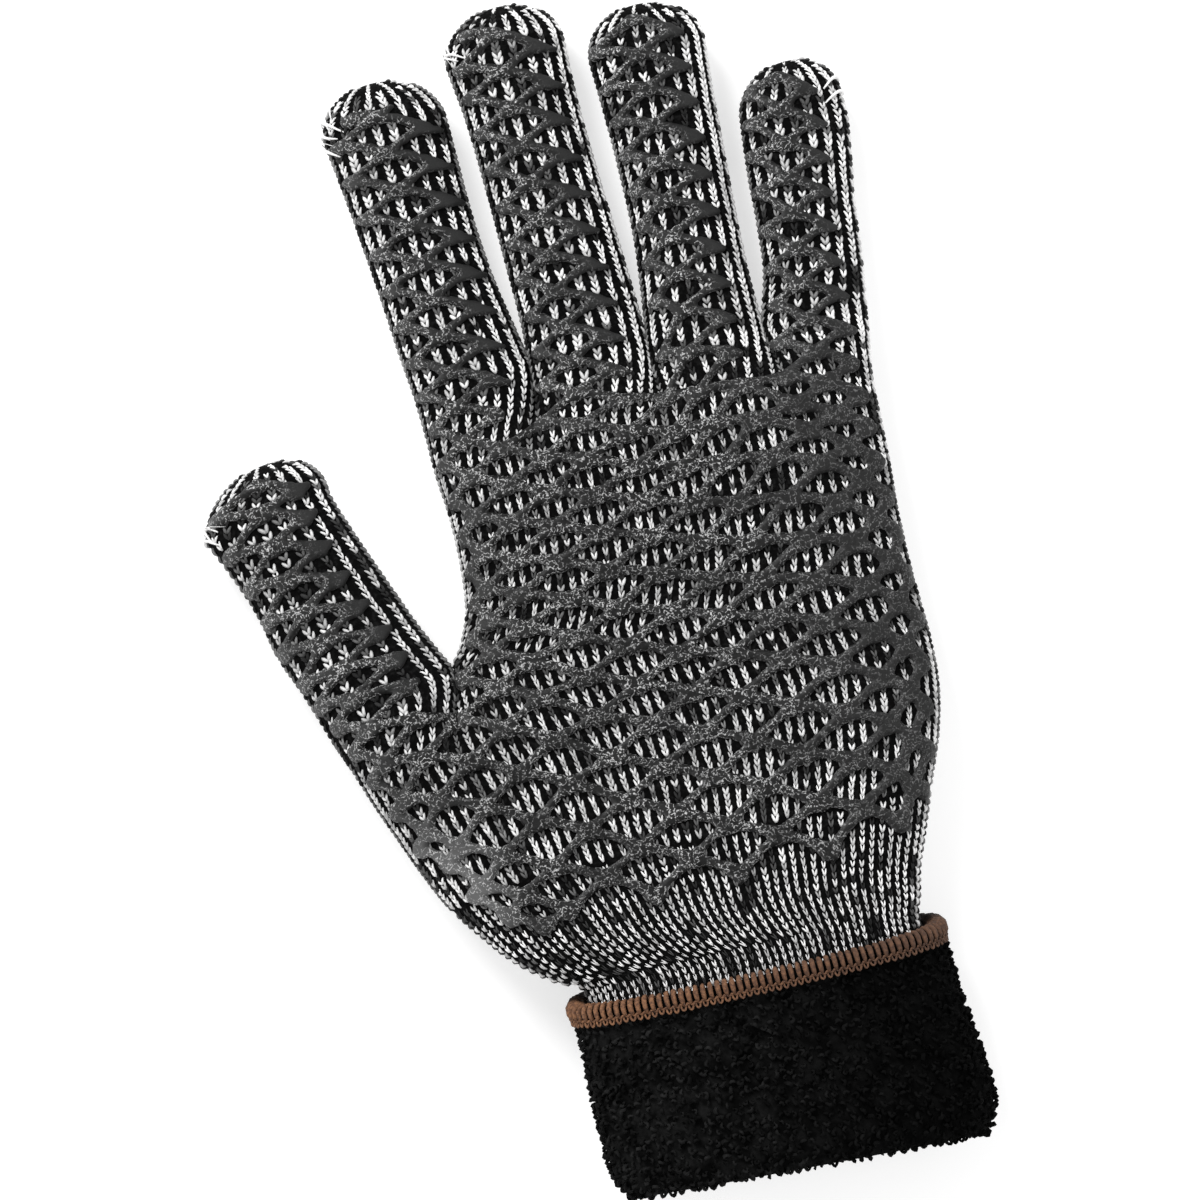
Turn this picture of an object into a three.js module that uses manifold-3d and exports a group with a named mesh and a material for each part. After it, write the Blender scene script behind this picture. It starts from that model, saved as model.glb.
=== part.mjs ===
// Terry cloth glove, left hand, lying on its back with the palm up.
// Millimetres. +Z is up, +Y runs from the cuff to the fingertips, +X to the little finger side.
// The origin is on the floor, under the middle of the palm.
import * as THREE from "three";
import { mergeVertices } from "three/addons/utils/BufferGeometryUtils.js";
import Module from "manifold-3d";

const wasm = await Module();
wasm.setup();

const WALL = 3.2;            // knitted shell with its terry lining
const GAP = 0.3;             // air left between neighbouring pieces
const PALM_SQUARE = 2.5;     // superellipse power of the palm's section
const DIGIT_SQUARE = 2.15;   // superellipse power of a finger's section
const REST_FLAT = 1.07;      // how far the underside is pressed flat where it rests
const WEB_LENGTH = 18;       // length of the valley that ends in a finger crotch
const THUMB_WEB = 20;        // the same for the thumb
const THUMB_CROTCH = 8;
const FINGER_CROTCH = 68;
const FINGER_ROOT = 72;      // the row where a finger is parted from the palm
const THUMB_ROOT = 16;
const SEGMENTS = 6;          // facets across the upper side of one digit

// The palm and wrist: one row per course. "split" is the line that goes on to the thumb crotch.
const PALM = table(
  ["v", "leftX", "leftY", "split", "rightX", "top", "low", "mid"], [
    [-111, -38.6, -111, -28, 35.9, 28.6, 4.6, 16.6],
    [-90, -38.6, -90, -28, 35.6, 28.6, 4.6, 16.6],
    [-72, -38.7, -72, -29, 35.6, 28.5, 4.6, 16.55],
    [-66.5, -40.4, -66.5, -31, 35.9, 28.3, 4.6, 16.45],
    [-64.5, -44.6, -64.8, -33, 36.8, 28.2, 4.3, 16.25],
    [-58, -52.4, -58.8, -38, 38.4, 28.1, 2.6, 15.35],
    [-50, -58.2, -52, -42, 41.5, 28, 0.4, 14.2],
    [-40, -64.2, -43.5, -45, 45.2, 27.6, 0, 13.8],
    [-30, -68.1, -35.5, -47, 49, 27.2, 0, 13.6],
    [-20, -71.6, -27, -48.5, 51.4, 26.8, 0, 13.4],
    [-10, -75.2, -18, -49.8, 52, 26.4, 0, 13.2],
    [0, -78.6, -8.5, -51, 51.6, 26, 0, 13],
    [8, -81, -2.5, -52, 51.3, 25.6, 0, 12.8],
    [11, -81, -2.5, -49.6, 51.2, 25.5, 0, 12.75],
    [15, -81, -2.5, -47.5, 51.3, 25.4, 0, 12.7],
    [20, -81, -2.5, -45.8, 51.3, 25.3, 0, 12.65],
    [30, -81, -2.5, -44.8, 51.9, 25.1, 0, 12.55],
    [40, -81, -2.5, -44.8, 52.2, 24.8, 0, 12.4],
    [50, -81, -2.5, -45.7, 52.5, 24, 0, 12],
    [60, -81, -2.5, -46, 54, 22, 0, 11],
    [68, -81, -2.5, -46.5, 55, 20, 0, 10],
  ]);

// The digits: one row per course, left and right edge, crest and underside; then the tip's end.
const DIGIT_COLUMNS = ["v", "leftX", "leftY", "rightX", "rightY", "top", "low", "mid"];
const DIGITS = {
  thumb: {
    from: -11, to: 0, tip: [-83.2, 60.7, 10], rows: table(DIGIT_COLUMNS, [
      [-30, -68.1, -35.5, -47, -30, 27.5, 0, 13.6],
      [-20, -71.6, -27, -48.5, -20, 27, 0, 13.4],
      [-10, -75.2, -18, -49.8, -10, 26, 0, 13.2],
      [0, -78.6, -8.5, -51, 0, 24.6, 0, 13],
      [8, -81, -2.5, -52, 8, 23.4, 0, 12.8],
      [18, -84.9, 9, -57, 18, 22, 0, 11],
      [28, -88.7, 18.8, -61.1, 28, 21, 0, 10.5],
      [38, -91.2, 29.4, -65.1, 38, 20.2, 0.1, 10.15],
      [46, -95, 39.4, -68.1, 46, 19.4, 0.4, 9.9],
      [51, -98.3, 46.5, -69.9, 51.5, 18.6, 0.9, 9.75],
    ]),
  },
  index_finger: {
    from: 0, to: 11, tip: [-40.6, 137.5, 8.6], rows: table(DIGIT_COLUMNS, [
      [50, -45.7, 50, -20, 50, 21.5, 0, 10.8],
      [60, -46, 60, -20.1, 60.6, 20, 0, 10],
      [68, -46.5, 68.2, -20.2, 69.5, 18.8, 0, 9.3],
      [78, -47.6, 78, -21.9, 78.3, 18, 0, 9],
      [90, -48.7, 90, -24.1, 90.3, 17.6, 0, 8.8],
      [105, -50.3, 105, -25.5, 105.3, 17.3, 0.1, 8.7],
      [118, -51.9, 117.8, -25.9, 118.4, 17, 0.4, 8.7],
      [126.5, -53.1, 126, -26.2, 127, 16.6, 0.9, 8.75],
    ]),
  },
  middle_finger: {
    from: 11, to: 22, tip: [-9.6, 147.7, 8.8], rows: table(DIGIT_COLUMNS, [
      [50, -20, 50, 5.5, 50, 21.5, 0, 10.8],
      [60, -20.1, 60.6, 5.8, 60, 20, 0, 10],
      [68, -20.2, 69.5, 6, 67.8, 18.9, 0, 9.3],
      [78, -19.8, 78.3, 5.6, 78, 18.2, 0, 9.1],
      [92, -20.2, 92, 4.7, 92, 17.8, 0, 8.9],
      [108, -20.7, 108, 3.6, 108, 17.5, 0.1, 8.8],
      [124, -21.6, 124, 2.9, 124, 17.2, 0.5, 8.85],
      [137, -23.2, 136.8, 3, 137.3, 16.8, 1, 8.9],
    ]),
  },
  ring_finger: {
    from: 22, to: 33, tip: [20.6, 141.4, 8.7], rows: table(DIGIT_COLUMNS, [
      [50, 5.5, 50, 30.5, 50, 21.5, 0, 10.8],
      [60, 5.8, 60, 31.1, 59.4, 20, 0, 10],
      [68, 6, 67.8, 31.5, 66, 18.8, 0, 9.3],
      [78, 7.4, 78, 31.1, 77.4, 18, 0, 9],
      [92, 8.7, 92, 31.3, 92, 17.7, 0, 8.85],
      [106, 8.8, 106, 31.9, 106, 17.4, 0.1, 8.75],
      [120, 8.4, 120, 32.5, 120, 17, 0.5, 8.75],
      [131, 7.8, 131, 33.3, 131, 16.6, 1, 8.8],
    ]),
  },
  little_finger: {
    from: 33, to: 43, tip: [49.3, 121.8, 8.2], rows: table(DIGIT_COLUMNS, [
      [50, 30.5, 50, 52.5, 50, 21, 0, 10.8],
      [60, 31.1, 59.4, 54, 59.6, 19, 0, 10],
      [68, 31.5, 66, 55, 66.6, 17.6, 0, 9.3],
      [78, 34.8, 77.4, 56.4, 77.2, 16.8, 0, 8.4],
      [88, 35.8, 88, 57.4, 88, 16.5, 0.1, 8.3],
      [98, 36.2, 98, 59, 98.2, 16.2, 0.3, 8.25],
      [106, 36.8, 105.8, 60.1, 106.4, 16, 0.6, 8.3],
      [111.5, 37.3, 111, 60, 112, 15.6, 1, 8.3],
    ]),
  },
};
const FINGERS = ["index_finger", "middle_finger", "ring_finger", "little_finger"];
const WALES = { thumb: 11, fingers: 43 };

// Soft swells of the stuffed palm: centre, reach and height.
const SWELLS = table(["x", "y", "reachX", "reachY", "height"], [
  [-60, -14, 15, 26, 4],
  [34, -18, 15, 26, 2.4],
  [-4, -6, 17, 30, -2],
]);

// The turned-back cuff, one row per height up the wrist.
const CUFF = table(["y", "leftX", "rightX", "top", "low"], [
  [-116.5, -43.4, 43.8, 33.2, 0],
  [-105, -43.6, 43.9, 33.4, 0],
  [-90, -43.5, 42, 33.2, 0],
  [-73, -43.3, 40.6, 33, 0],
  [-66, -44.6, 39.9, 33.2, 0],
]);
// How far the cut edge of the cuff is drawn down on the crest and forward on the floor side.
const CUT_EDGE = { crest: -2.3, floor: 2.7, from: -104, to: -76 };

// The rubber net: one line per lattice column, [row, x, y] from the wrist end to the tip end.
const NET_COLUMNS = [
  { column: -9, path: [[1.5, -66, -34], [3.5, -72.6, -16.5], [5.5, -78.2, -2.5], [7.5, -82.4, 10],
    [9.5, -86.9, 23], [11.5, -90.6, 37.5], [12.6, -94, 45.5]] },
  { column: -8, path: [[0.5, -58.3, -42], [3, -67, -22.5], [5, -72, -6], [7, -76, 7.5],
    [9, -79.9, 21.5], [11, -84.2, 37], [13, -87.2, 51.6]] },
  { column: -7, path: [[0, -51.5, -48.8], [1.5, -57.7, -36.2], [3.5, -62.1, -15], [5.5, -62.4, 2.4],
    [7.5, -64.8, 15.4], [9.5, -71.2, 28.8], [11.5, -75.6, 43.5], [12.6, -78.2, 51]] },
  { column: -6, path: [[-0.5, -44.8, -52], [1, -49.3, -40.2], [3, -52, -18.2], [5, -52.6, 0.6],
    [6, -48.6, 8.6], [7, -44.4, 16.5], [9, -42.9, 31], [12, -43.9, 55.5], [14.5, -44.9, 75],
    [18, -47.5, 104], [20.5, -49.9, 125]] },
  { column: -5, path: [[0, -38.5, -50], [1.5, -40.5, -34.9], [3.5, -43.1, -12.9], [5.5, -43, 5],
    [8.5, -40.4, 26.3], [11.5, -38.6, 51.4], [14.5, -38, 75], [17.5, -38.8, 100], [21, -41, 129.6]] },
  { column: -4, path: [[0.5, -29, -44.5], [3, -33, -17.7], [5, -34.8, 1.2], [8, -33.5, 23.5],
    [11, -30.8, 48], [14, -29, 71.6], [17, -29.4, 96], [20.6, -31.6, 126]] },
  { column: -3, path: [[0, -19.3, -51], [2.5, -21.6, -24.3], [5.5, -23.7, 3.5], [8.5, -23.2, 29],
    [11.5, -21.4, 51.4], [12.6, -19.2, 60.5], [14, -17.6, 71], [18, -18.2, 104], [21.5, -20.2, 133]] },
  { column: -2, path: [[0.5, -10.1, -44.8], [3, -12, -19], [5, -13.2, -0.6], [8, -13.7, 24.8],
    [11, -12.5, 49.5], [14, -11.8, 71.2], [18, -11.4, 103.5], [22.5, -11.4, 141.5]] },
  { column: -1, path: [[0, -0.3, -50.3], [2.5, -0.9, -23.5], [4.5, -1.8, -5], [7.5, -2.7, 21.8],
    [11.5, -2.3, 52.9], [13.5, -2.6, 67.4], [17.5, -2.9, 100], [22, -3.2, 137]] },
  { column: 0, path: [[0.5, 9.8, -44], [2, 9.7, -27.9], [4, 8.8, -8], [7, 8, 18], [10, 8, 43],
    [11.5, 7.6, 54.5], [12.5, 8.6, 64], [13.5, 9.8, 76], [17, 10.8, 105], [20.5, 10.2, 132]] },
  { column: 1, path: [[0, 20, -50], [2.5, 19, -22.6], [4.5, 19.5, -2], [7.5, 17.9, 24],
    [9.5, 16.3, 42.7], [11.5, 13.6, 58.3], [12.5, 14.4, 68.5], [16.5, 16, 101], [21, 17, 136.4]] },
  { column: 2, path: [[0, 28.6, -48], [2, 30, -26.5], [4, 30.2, -5.8], [7, 29.3, 22.5],
    [9, 25.8, 41.5], [11, 23.4, 57.9], [12, 23.6, 65.5], [16, 24.8, 97.5], [20.6, 25.4, 133]] },
  { column: 3, path: [[0, 36.4, -46.5], [1.5, 38.5, -31], [3.5, 40, -10.7], [5.5, 40.3, 9.6],
    [7.5, 38.4, 28.6], [8.5, 36.6, 37.7], [10.5, 34.2, 50], [11.5, 33.6, 57], [12.5, 34.6, 65.5],
    [13.5, 36, 73.5], [17, 38, 103], [18.5, 39.2, 112.5]] },
  { column: 4, path: [[0.5, 39.4, -41.5], [2, 43.8, -25], [4, 46.4, -5.4], [7, 46, 23.3],
    [10, 42.8, 46.5], [12, 41.2, 61], [14, 42, 76.5], [17, 44.5, 99.5], [19.5, 46.6, 117]] },
  { column: 5, path: [[2.5, 48.4, -19], [5.5, 49.3, 9.5], [8.5, 49, 35], [10.5, 48.8, 49.5],
    [12.5, 49, 65], [15.5, 50, 88.5], [17.5, 51.6, 104], [18.6, 52.4, 111]] },
];
// Where the lattice is parted by a gap between two digits: columns on both sides, and from which y.
const NET_PARTINGS = table(["left", "right", "above"], [
  [-7, -6, 2], [-4, -3, 59], [-1, 0, 59], [2, 3, 57]]);
const NET_COARSEN = 4 / 3;   // rows of the lattice are drawn this much further apart here
const NET_STRUT = 1.25;      // half width of a strut
const NET_LIFT = 0.45;       // underside of the net above the knit
const NET_THICK = 1.0;

function table(names, rows) {
  return rows.map((row) => Object.fromEntries(names.map((name, i) => [name, row[i]])));
}

// Smooth reading of a table between its rows.
function read(all, key, at, crotch) {
  // the curve is broken at a crotch, so that neighbours share their common line below it
  const rows = crotch === undefined ? all : all.filter((row) => (at <= crotch ? row[key] <= crotch : row[key] >= crotch));
  const last = rows.length - 1;
  if (at <= rows[0][key]) return { ...rows[0] };
  if (at >= rows[last][key]) return { ...rows[last] };
  let i = 0;
  while (rows[i + 1][key] < at) i += 1;
  const a = rows[i], b = rows[i + 1];
  const before = rows[Math.max(0, i - 1)], after = rows[Math.min(last, i + 2)];
  const span = b[key] - a[key], t = (at - a[key]) / span, out = {};
  for (const name of Object.keys(a)) {
    const slopeA = (b[name] - before[name]) / (b[key] - before[key]) * span;
    const slopeB = (after[name] - a[name]) / (after[key] - a[key]) * span;
    out[name] = (2 * t ** 3 - 3 * t ** 2 + 1) * a[name] + (t ** 3 - 2 * t ** 2 + t) * slopeA
      + (3 * t ** 2 - 2 * t ** 3) * b[name] + (t ** 3 - t ** 2) * slopeB;
  }
  return out;
}

function ease(from, to, at) {
  const t = Math.min(1, Math.max(0, (at - from) / (to - from)));
  return t * t * (3 - 2 * t);
}

const arch = (across, power) => (1 - Math.abs(2 * across - 1) ** power) ** (1 / power);

// Fraction of the stretched cloth -> fraction of the width, for a section of this flatness.
function unroller(flatness, power) {
  const steps = 400, along = [0];
  for (let i = 1; i <= steps; i += 1) {
    const rise = (arch(i / steps, power) - arch((i - 1) / steps, power)) / flatness / 2;
    along.push(along[i - 1] + Math.hypot(1 / steps, rise));
  }
  return (fraction) => {
    const wanted = Math.min(1, Math.max(0, fraction)) * along[steps];
    let i = 1;
    while (i < steps && along[i] < wanted) i += 1;
    return (i - 1 + (wanted - along[i - 1]) / (along[i] - along[i - 1])) / steps;
  };
}
const unrollPalm = unroller(3.9, PALM_SQUARE);
const unrollDigit = unroller(1.45, DIGIT_SQUARE);

function height(row, across, power, upper) {
  const full = arch(across, power);
  return upper ? row.mid + (row.top - row.mid) * full : row.mid - (row.mid - row.low) * Math.min(1, REST_FLAT * full);
}

// A row of the whole palm with the thumb's root in it.
function wholeRing(u, v, upper, inset) {
  const row = read(PALM, "v", v, THUMB_CROTCH);
  row.leftX += inset; row.rightX -= inset; row.top -= inset; row.low += inset;
  const across = unrollPalm((u + WALES.thumb) / (WALES.thumb + WALES.fingers));
  const x = row.leftX + (row.rightX - row.leftX) * across;
  const beyond = Math.max(0, (row.split - x) / (row.split - row.leftX));
  const y = v + (row.leftY - v) * beyond ** 1.3;
  return new THREE.Vector3(x, y, height(row, across, PALM_SQUARE, upper));
}

// A row of the palm without the thumb.
function palmRing(u, v, upper, inset) {
  const row = read(PALM, "v", v, THUMB_CROTCH);
  row.top -= inset; row.low += inset;
  const left = row.split + inset, right = row.rightX - inset;
  const across = unrollPalm(u / WALES.fingers);
  return new THREE.Vector3(left + (right - left) * across, v, height(row, across, PALM_SQUARE, upper));
}

// A ring of one digit; past its last row it closes as half an ellipsoid.
function digitRing(name, fraction, v, upper, inset) {
  const digit = DIGITS[name];
  const row = read(digit.rows, "v", v, name === "thumb" ? THUMB_CROTCH : FINGER_CROTCH);
  const last = digit.rows[digit.rows.length - 1];
  const left = new THREE.Vector3(row.leftX, row.leftY, 0);
  const right = new THREE.Vector3(row.rightX, row.rightY, 0);
  const width = left.distanceTo(right);
  left.lerp(right, inset / width);
  right.lerp(left, inset / (width - inset));
  row.top -= inset; row.low += inset;
  const across = unrollDigit(fraction);
  const point = left.clone().lerp(right, across);
  point.z = height(row, across, DIGIT_SQUARE, upper);
  if (v > last.v) {
    const [tipX, tipY, tipZ] = digit.tip;
    const middle = new THREE.Vector3((last.leftX + last.rightX) / 2, (last.leftY + last.rightY) / 2, tipZ);
    const tip = new THREE.Vector3(tipX, tipY, tipZ);
    const reach = middle.distanceTo(tip);
    tip.lerp(middle, inset / reach);
    const s = Math.min(1, (v - last.v) / (reach - inset));
    point.sub(middle).multiplyScalar(Math.sqrt(1 - s * s)).add(middle.lerp(tip, s));
  }
  return point;
}

function tipLength(name) {
  const digit = DIGITS[name], last = digit.rows[digit.rows.length - 1];
  return Math.hypot((last.leftX + last.rightX) / 2 - digit.tip[0], (last.leftY + last.rightY) / 2 - digit.tip[1]);
}

// The outside of the knit: digit name, fraction across it, course v, upper or under side.
function skin(name, fraction, v, upper, inset = 0) {
  const digit = DIGITS[name], u = digit.from + (digit.to - digit.from) * fraction;
  let point;
  if (name === "thumb") {
    point = digitRing(name, fraction, v, upper, inset);
    if (v < THUMB_CROTCH) {
      point.lerp(wholeRing(u, v, upper, inset), 1 - ease(THUMB_CROTCH - THUMB_WEB, THUMB_CROTCH, v));
    }
  } else if (v >= FINGER_CROTCH) {
    point = digitRing(name, fraction, v, upper, inset);
  } else {
    point = palmRing(u, v, upper, inset);
    if (v > FINGER_CROTCH - WEB_LENGTH) {
      point.lerp(digitRing(name, fraction, v, upper, inset), ease(FINGER_CROTCH - WEB_LENGTH, FINGER_CROTCH, v));
    }
    if (v < THUMB_CROTCH) {
      point.lerp(wholeRing(u, v, upper, inset), 1 - ease(THUMB_CROTCH - THUMB_WEB, THUMB_CROTCH, v));
    }
  }
  if (upper && v < 45) {
    const whole = arch((u + WALES.thumb) / (WALES.thumb + WALES.fingers), 2);
    const own = arch(name === "thumb" ? fraction : u / WALES.fingers, 2);
    const t = ease(THUMB_CROTCH - THUMB_WEB, THUMB_CROTCH, v);
    const hold = (whole + (own - whole) * t) * (1 - ease(20, 45, v));
    for (const swell of SWELLS) {
      point.z += swell.height * hold * Math.exp(-(((point.x - swell.x) / swell.reachX) ** 2
        + ((point.y - swell.y) / swell.reachY) ** 2));
    }
  }
  return point;
}

// Triangle soup helpers.
class Soup {
  constructor() { this.at = []; }
  tri(a, b, c) { this.at.push(...a.toArray(), ...b.toArray(), ...c.toArray()); }
  quad(a, b, c, d) { this.tri(a, b, c); this.tri(a, c, d); }
  geometry(tolerance = 2e-3) {
    const loose = new THREE.BufferGeometry();
    loose.setAttribute("position", new THREE.Float32BufferAttribute(this.at, 3));
    const welded = mergeVertices(loose, tolerance);
    const index = welded.index.array, keep = [];
    for (let i = 0; i < index.length; i += 3) {
      const [a, b, c] = [index[i], index[i + 1], index[i + 2]];
      if (a !== b && b !== c && c !== a) keep.push(a, b, c);
    }
    welded.setIndex(keep);
    return welded;
  }
}

// Loft one digit's strip of cloth, upper and under side, along the given courses.
function strip(soup, name, courses, segments, inset) {
  for (let j = 0; j + 1 < courses.length; j += 1) {
    for (let i = 0; i < segments; i += 1) {
      for (const upper of [true, false]) {
        const a = skin(name, i / segments, courses[j], upper, inset);
        const b = skin(name, (i + 1) / segments, courses[j], upper, inset);
        const c = skin(name, (i + 1) / segments, courses[j + 1], upper, inset);
        const d = skin(name, i / segments, courses[j + 1], upper, inset);
        if (upper) soup.quad(a, b, c, d); else soup.quad(a, d, c, b);
      }
    }
  }
}

// Close a row of one or more digits with flat faces.
function cap(soup, names, v, segments, inset, forward) {
  const upper = [], under = [];
  for (const name of names) {
    for (let i = 0; i <= segments; i += 1) {
      upper.push(skin(name, i / segments, v, true, inset));
      under.push(skin(name, i / segments, v, false, inset));
    }
  }
  for (let i = 0; i + 1 < upper.length; i += 1) {
    const [a, b, c, d] = [under[i], under[i + 1], upper[i + 1], upper[i]];
    if (forward) { soup.tri(a, d, c); soup.tri(a, c, b); } else { soup.tri(a, b, c); soup.tri(a, c, d); }
  }
}

function digitCourses(name, start, steps, inset = 0) {
  const rows = DIGITS[name].rows, last = rows[rows.length - 1].v, out = [];
  for (let i = 0; i <= steps; i += 1) out.push(start + (last - start) * i / steps);
  const reach = tipLength(name) - inset;
  for (const s of [0.42, 0.72, 0.92, 1]) out.push(last + reach * s);
  return out;
}

// One digit as a closed body, from a course to its tip.
function digitBody(name, start, steps, segments, inset) {
  const soup = new Soup();
  strip(soup, name, digitCourses(name, start, steps, inset), segments, inset);
  cap(soup, [name], start, segments, inset, false);
  return soup.geometry();
}

// A run of joined digits' strips as one closed body between two courses.
function runBody(names, courses, segments, inset) {
  const soup = new Soup();
  for (let i = 0; i < names.length; i += 1) strip(soup, names[i], courses, segments, inset);
  for (let i = 0; i + 1 < names.length; i += 1) {
    for (let j = 0; j + 1 < courses.length; j += 1) {
      for (const upper of [true, false]) {
        const a = skin(names[i], 1, courses[j], upper, inset), b = skin(names[i + 1], 0, courses[j], upper, inset);
        const c = skin(names[i + 1], 0, courses[j + 1], upper, inset), d = skin(names[i], 1, courses[j + 1], upper, inset);
        if (a.distanceTo(b) < 1e-6 && c.distanceTo(d) < 1e-6) continue;
        if (upper) soup.quad(a, b, c, d); else soup.quad(a, d, c, b);
      }
    }
  }
  for (let j = 0; j + 1 < courses.length; j += 1) {
    for (const [name, fraction] of [[names[0], 0], [names[names.length - 1], 1]]) {
      const a = skin(name, fraction, courses[j], false, inset), b = skin(name, fraction, courses[j], true, inset);
      const c = skin(name, fraction, courses[j + 1], true, inset), d = skin(name, fraction, courses[j + 1], false, inset);
      if (fraction === 0) soup.quad(a, b, c, d); else soup.quad(a, d, c, b);
    }
  }
  cap(soup, names, courses[0], segments, inset, false);
  cap(soup, names, courses[courses.length - 1], segments, inset, true);
  return soup.geometry();
}

const toSolid = (geometry) => new wasm.Manifold(new wasm.Mesh({
  numProp: 3,
  vertProperties: new Float32Array(geometry.attributes.position.array),
  triVerts: new Uint32Array(geometry.index.array),
}));

function fromSolid(solid) {
  const mesh = solid.getMesh(), geometry = new THREE.BufferGeometry();
  const at = new Float32Array(mesh.numVert * 3);
  for (let i = 0; i < mesh.numVert; i += 1) {
    for (let k = 0; k < 3; k += 1) at[3 * i + k] = mesh.vertProperties[i * mesh.numProp + k];
  }
  geometry.setAttribute("position", new THREE.BufferAttribute(at, 3));
  geometry.setIndex(Array.from(mesh.triVerts));
  return geometry;
}

const LOW_COURSES = [-111, -72, -66.5, -64.5, -58, -50, -40, -30, -20, -10, -2, 4, THUMB_CROTCH];
const HIGH_COURSES = [THUMB_CROTCH, 14, 20, 35, 50, 56, 60.5, 64.5, FINGER_CROTCH];

// Outside of palm, wrist and the short roots of the digits, in one closed skin.
function palmOutside() {
  const soup = new Soup();
  for (const name of Object.keys(DIGITS)) strip(soup, name, LOW_COURSES, SEGMENTS, 0);
  strip(soup, "thumb", [THUMB_CROTCH, THUMB_ROOT - GAP / 2], SEGMENTS, 0);
  for (const name of FINGERS) strip(soup, name, [...HIGH_COURSES, FINGER_ROOT - GAP / 2], SEGMENTS, 0);
  cap(soup, Object.keys(DIGITS), -111, SEGMENTS, 0, false);
  cap(soup, ["thumb"], THUMB_ROOT - GAP / 2, SEGMENTS, 0, true);
  for (const name of FINGERS) cap(soup, [name], FINGER_ROOT - GAP / 2, SEGMENTS, 0, true);
  return soup.geometry();
}

// the inner walls of joined hollows stand a little apart, so that none of them coincide
const STEP = 0.2;
const hollow = (name, start, end) => toSolid(runBody([name], [start, end], 4, WALL + 2 * STEP));

const outsideSkin = palmOutside();
let hollows = toSolid(runBody(Object.keys(DIGITS), [-114, -72, -66.5, -63.5, -57, -49, -36, -20, -6], 4, WALL));
hollows = hollows.add(toSolid(runBody(FINGERS, [-8, 8, 20, 50, 59], 4, WALL + STEP)));
hollows = hollows.add(hollow("thumb", -7, THUMB_ROOT + 6));
for (const name of FINGERS) hollows = hollows.add(hollow(name, 55, FINGER_ROOT + 6));
const palmShell = toSolid(outsideSkin).subtract(hollows);

const digitShells = {};
const skins = [outsideSkin];
for (const name of Object.keys(DIGITS)) {
  const root = name === "thumb" ? THUMB_ROOT : FINGER_ROOT;
  const outer = digitBody(name, root + GAP / 2, 4, SEGMENTS, 0);
  skins.push(digitBody(name, root - GAP, 4, SEGMENTS, 0));
  digitShells[name] = toSolid(outer).subtract(toSolid(digitBody(name, root - 3, 3, 5, WALL)));
}

// Rings round the wrist, made of a profile of [inset, y] points.
function ringBody(profile, segments, power) {
  const soup = new Soup();
  const at = (inset, y, turn) => {
    const row = read(CUFF, "y", y);
    const middleX = (row.leftX + row.rightX) / 2, middleZ = (row.top + row.low) / 2;
    const angle = 2 * Math.PI * turn;
    const cos = Math.cos(angle), sin = Math.sin(angle);
    const x = Math.sign(cos) * Math.abs(cos) ** (2 / power), z = Math.sign(sin) * Math.abs(sin) ** (2 / power);
    // the underside lies flat on the floor
    const rise = z < 0 ? ((row.top - row.low) / 2 - Math.max(0, inset)) * Math.max(-1, 1.06 * z)
      : ((row.top - row.low) / 2 - inset) * z;
    const lean = ease(CUT_EDGE.from, CUT_EDGE.to, y) * (z > 0 ? CUT_EDGE.crest : -CUT_EDGE.floor) * z;
    return new THREE.Vector3(middleX + ((row.rightX - row.leftX) / 2 - inset) * x, y + lean, middleZ + rise);
  };
  for (let i = 0; i < segments; i += 1) {
    for (let k = 0; k < profile.length; k += 1) {
      const [p, q] = [profile[k], profile[(k + 1) % profile.length]];
      soup.quad(at(...p, i / segments), at(...p, (i + 1) / segments), at(...q, (i + 1) / segments), at(...q, i / segments));
    }
  }
  return soup.geometry();
}

// The terry, turned back over the wrist, with its fold below the wrist's end.
const CUFF_PROFILE = [
  [4, -74.3], [0.2, -74.3], [0, -80], [0, -92], [0, -106], [0.6, -111], [2.2, -114.6],
  [4.4, -116], [6.6, -115], [7.7, -112.6], [7.9, -111.3], [4.1, -111.3], [4, -92],
];
// The overlocked rim that stands on the terry's cut edge.
const EDGE_PROFILE = [
  [3.9, -74], [4, -72], [3.2, -70.2], [1.8, -69.6], [0.3, -70.1], [-0.5, -71.3], [-0.6, -72.8], [-0.1, -74],
];
const cuffBody = ringBody(CUFF_PROFILE, 30, 2.5);
const edgeBody = ringBody(EDGE_PROFILE, 30, 2.5);

// The crest of the knit straight above a point: its facets that face up are kept in square bins.
const BIN = 4, bins = new Map();
for (const geometry of skins) {
  const at = geometry.attributes.position, index = geometry.index.array;
  for (let i = 0; i < index.length; i += 3) {
    const [a, b, c] = [0, 1, 2].map((k) => new THREE.Vector3().fromBufferAttribute(at, index[i + k]));
    const area = (b.x - a.x) * (c.y - a.y) - (c.x - a.x) * (b.y - a.y);
    if (area < 1e-6) continue;
    const facet = { a, b, c, area };
    const span = (key) => [Math.min(a[key], b[key], c[key]), Math.max(a[key], b[key], c[key])].map((n) => Math.floor(n / BIN));
    const [x0, x1] = span("x"), [y0, y1] = span("y");
    for (let x = x0; x <= x1; x += 1) for (let y = y0; y <= y1; y += 1) {
      const id = `${x},${y}`;
      if (!bins.has(id)) bins.set(id, []);
      bins.get(id).push(facet);
    }
  }
}
function crest(x, y) {
  let best = null;
  for (const { a, b, c, area } of bins.get(`${Math.floor(x / BIN)},${Math.floor(y / BIN)}`) ?? []) {
    const p = ((b.x - x) * (c.y - y) - (c.x - x) * (b.y - y)) / area;
    const q = ((c.x - x) * (a.y - y) - (a.x - x) * (c.y - y)) / area;
    if (p < -1e-9 || q < -1e-9 || p + q > 1 + 1e-9) continue;
    const z = p * a.z + q * b.z + (1 - p - q) * c.z;
    if (best === null || z > best) best = z;
  }
  return best;
}
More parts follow.
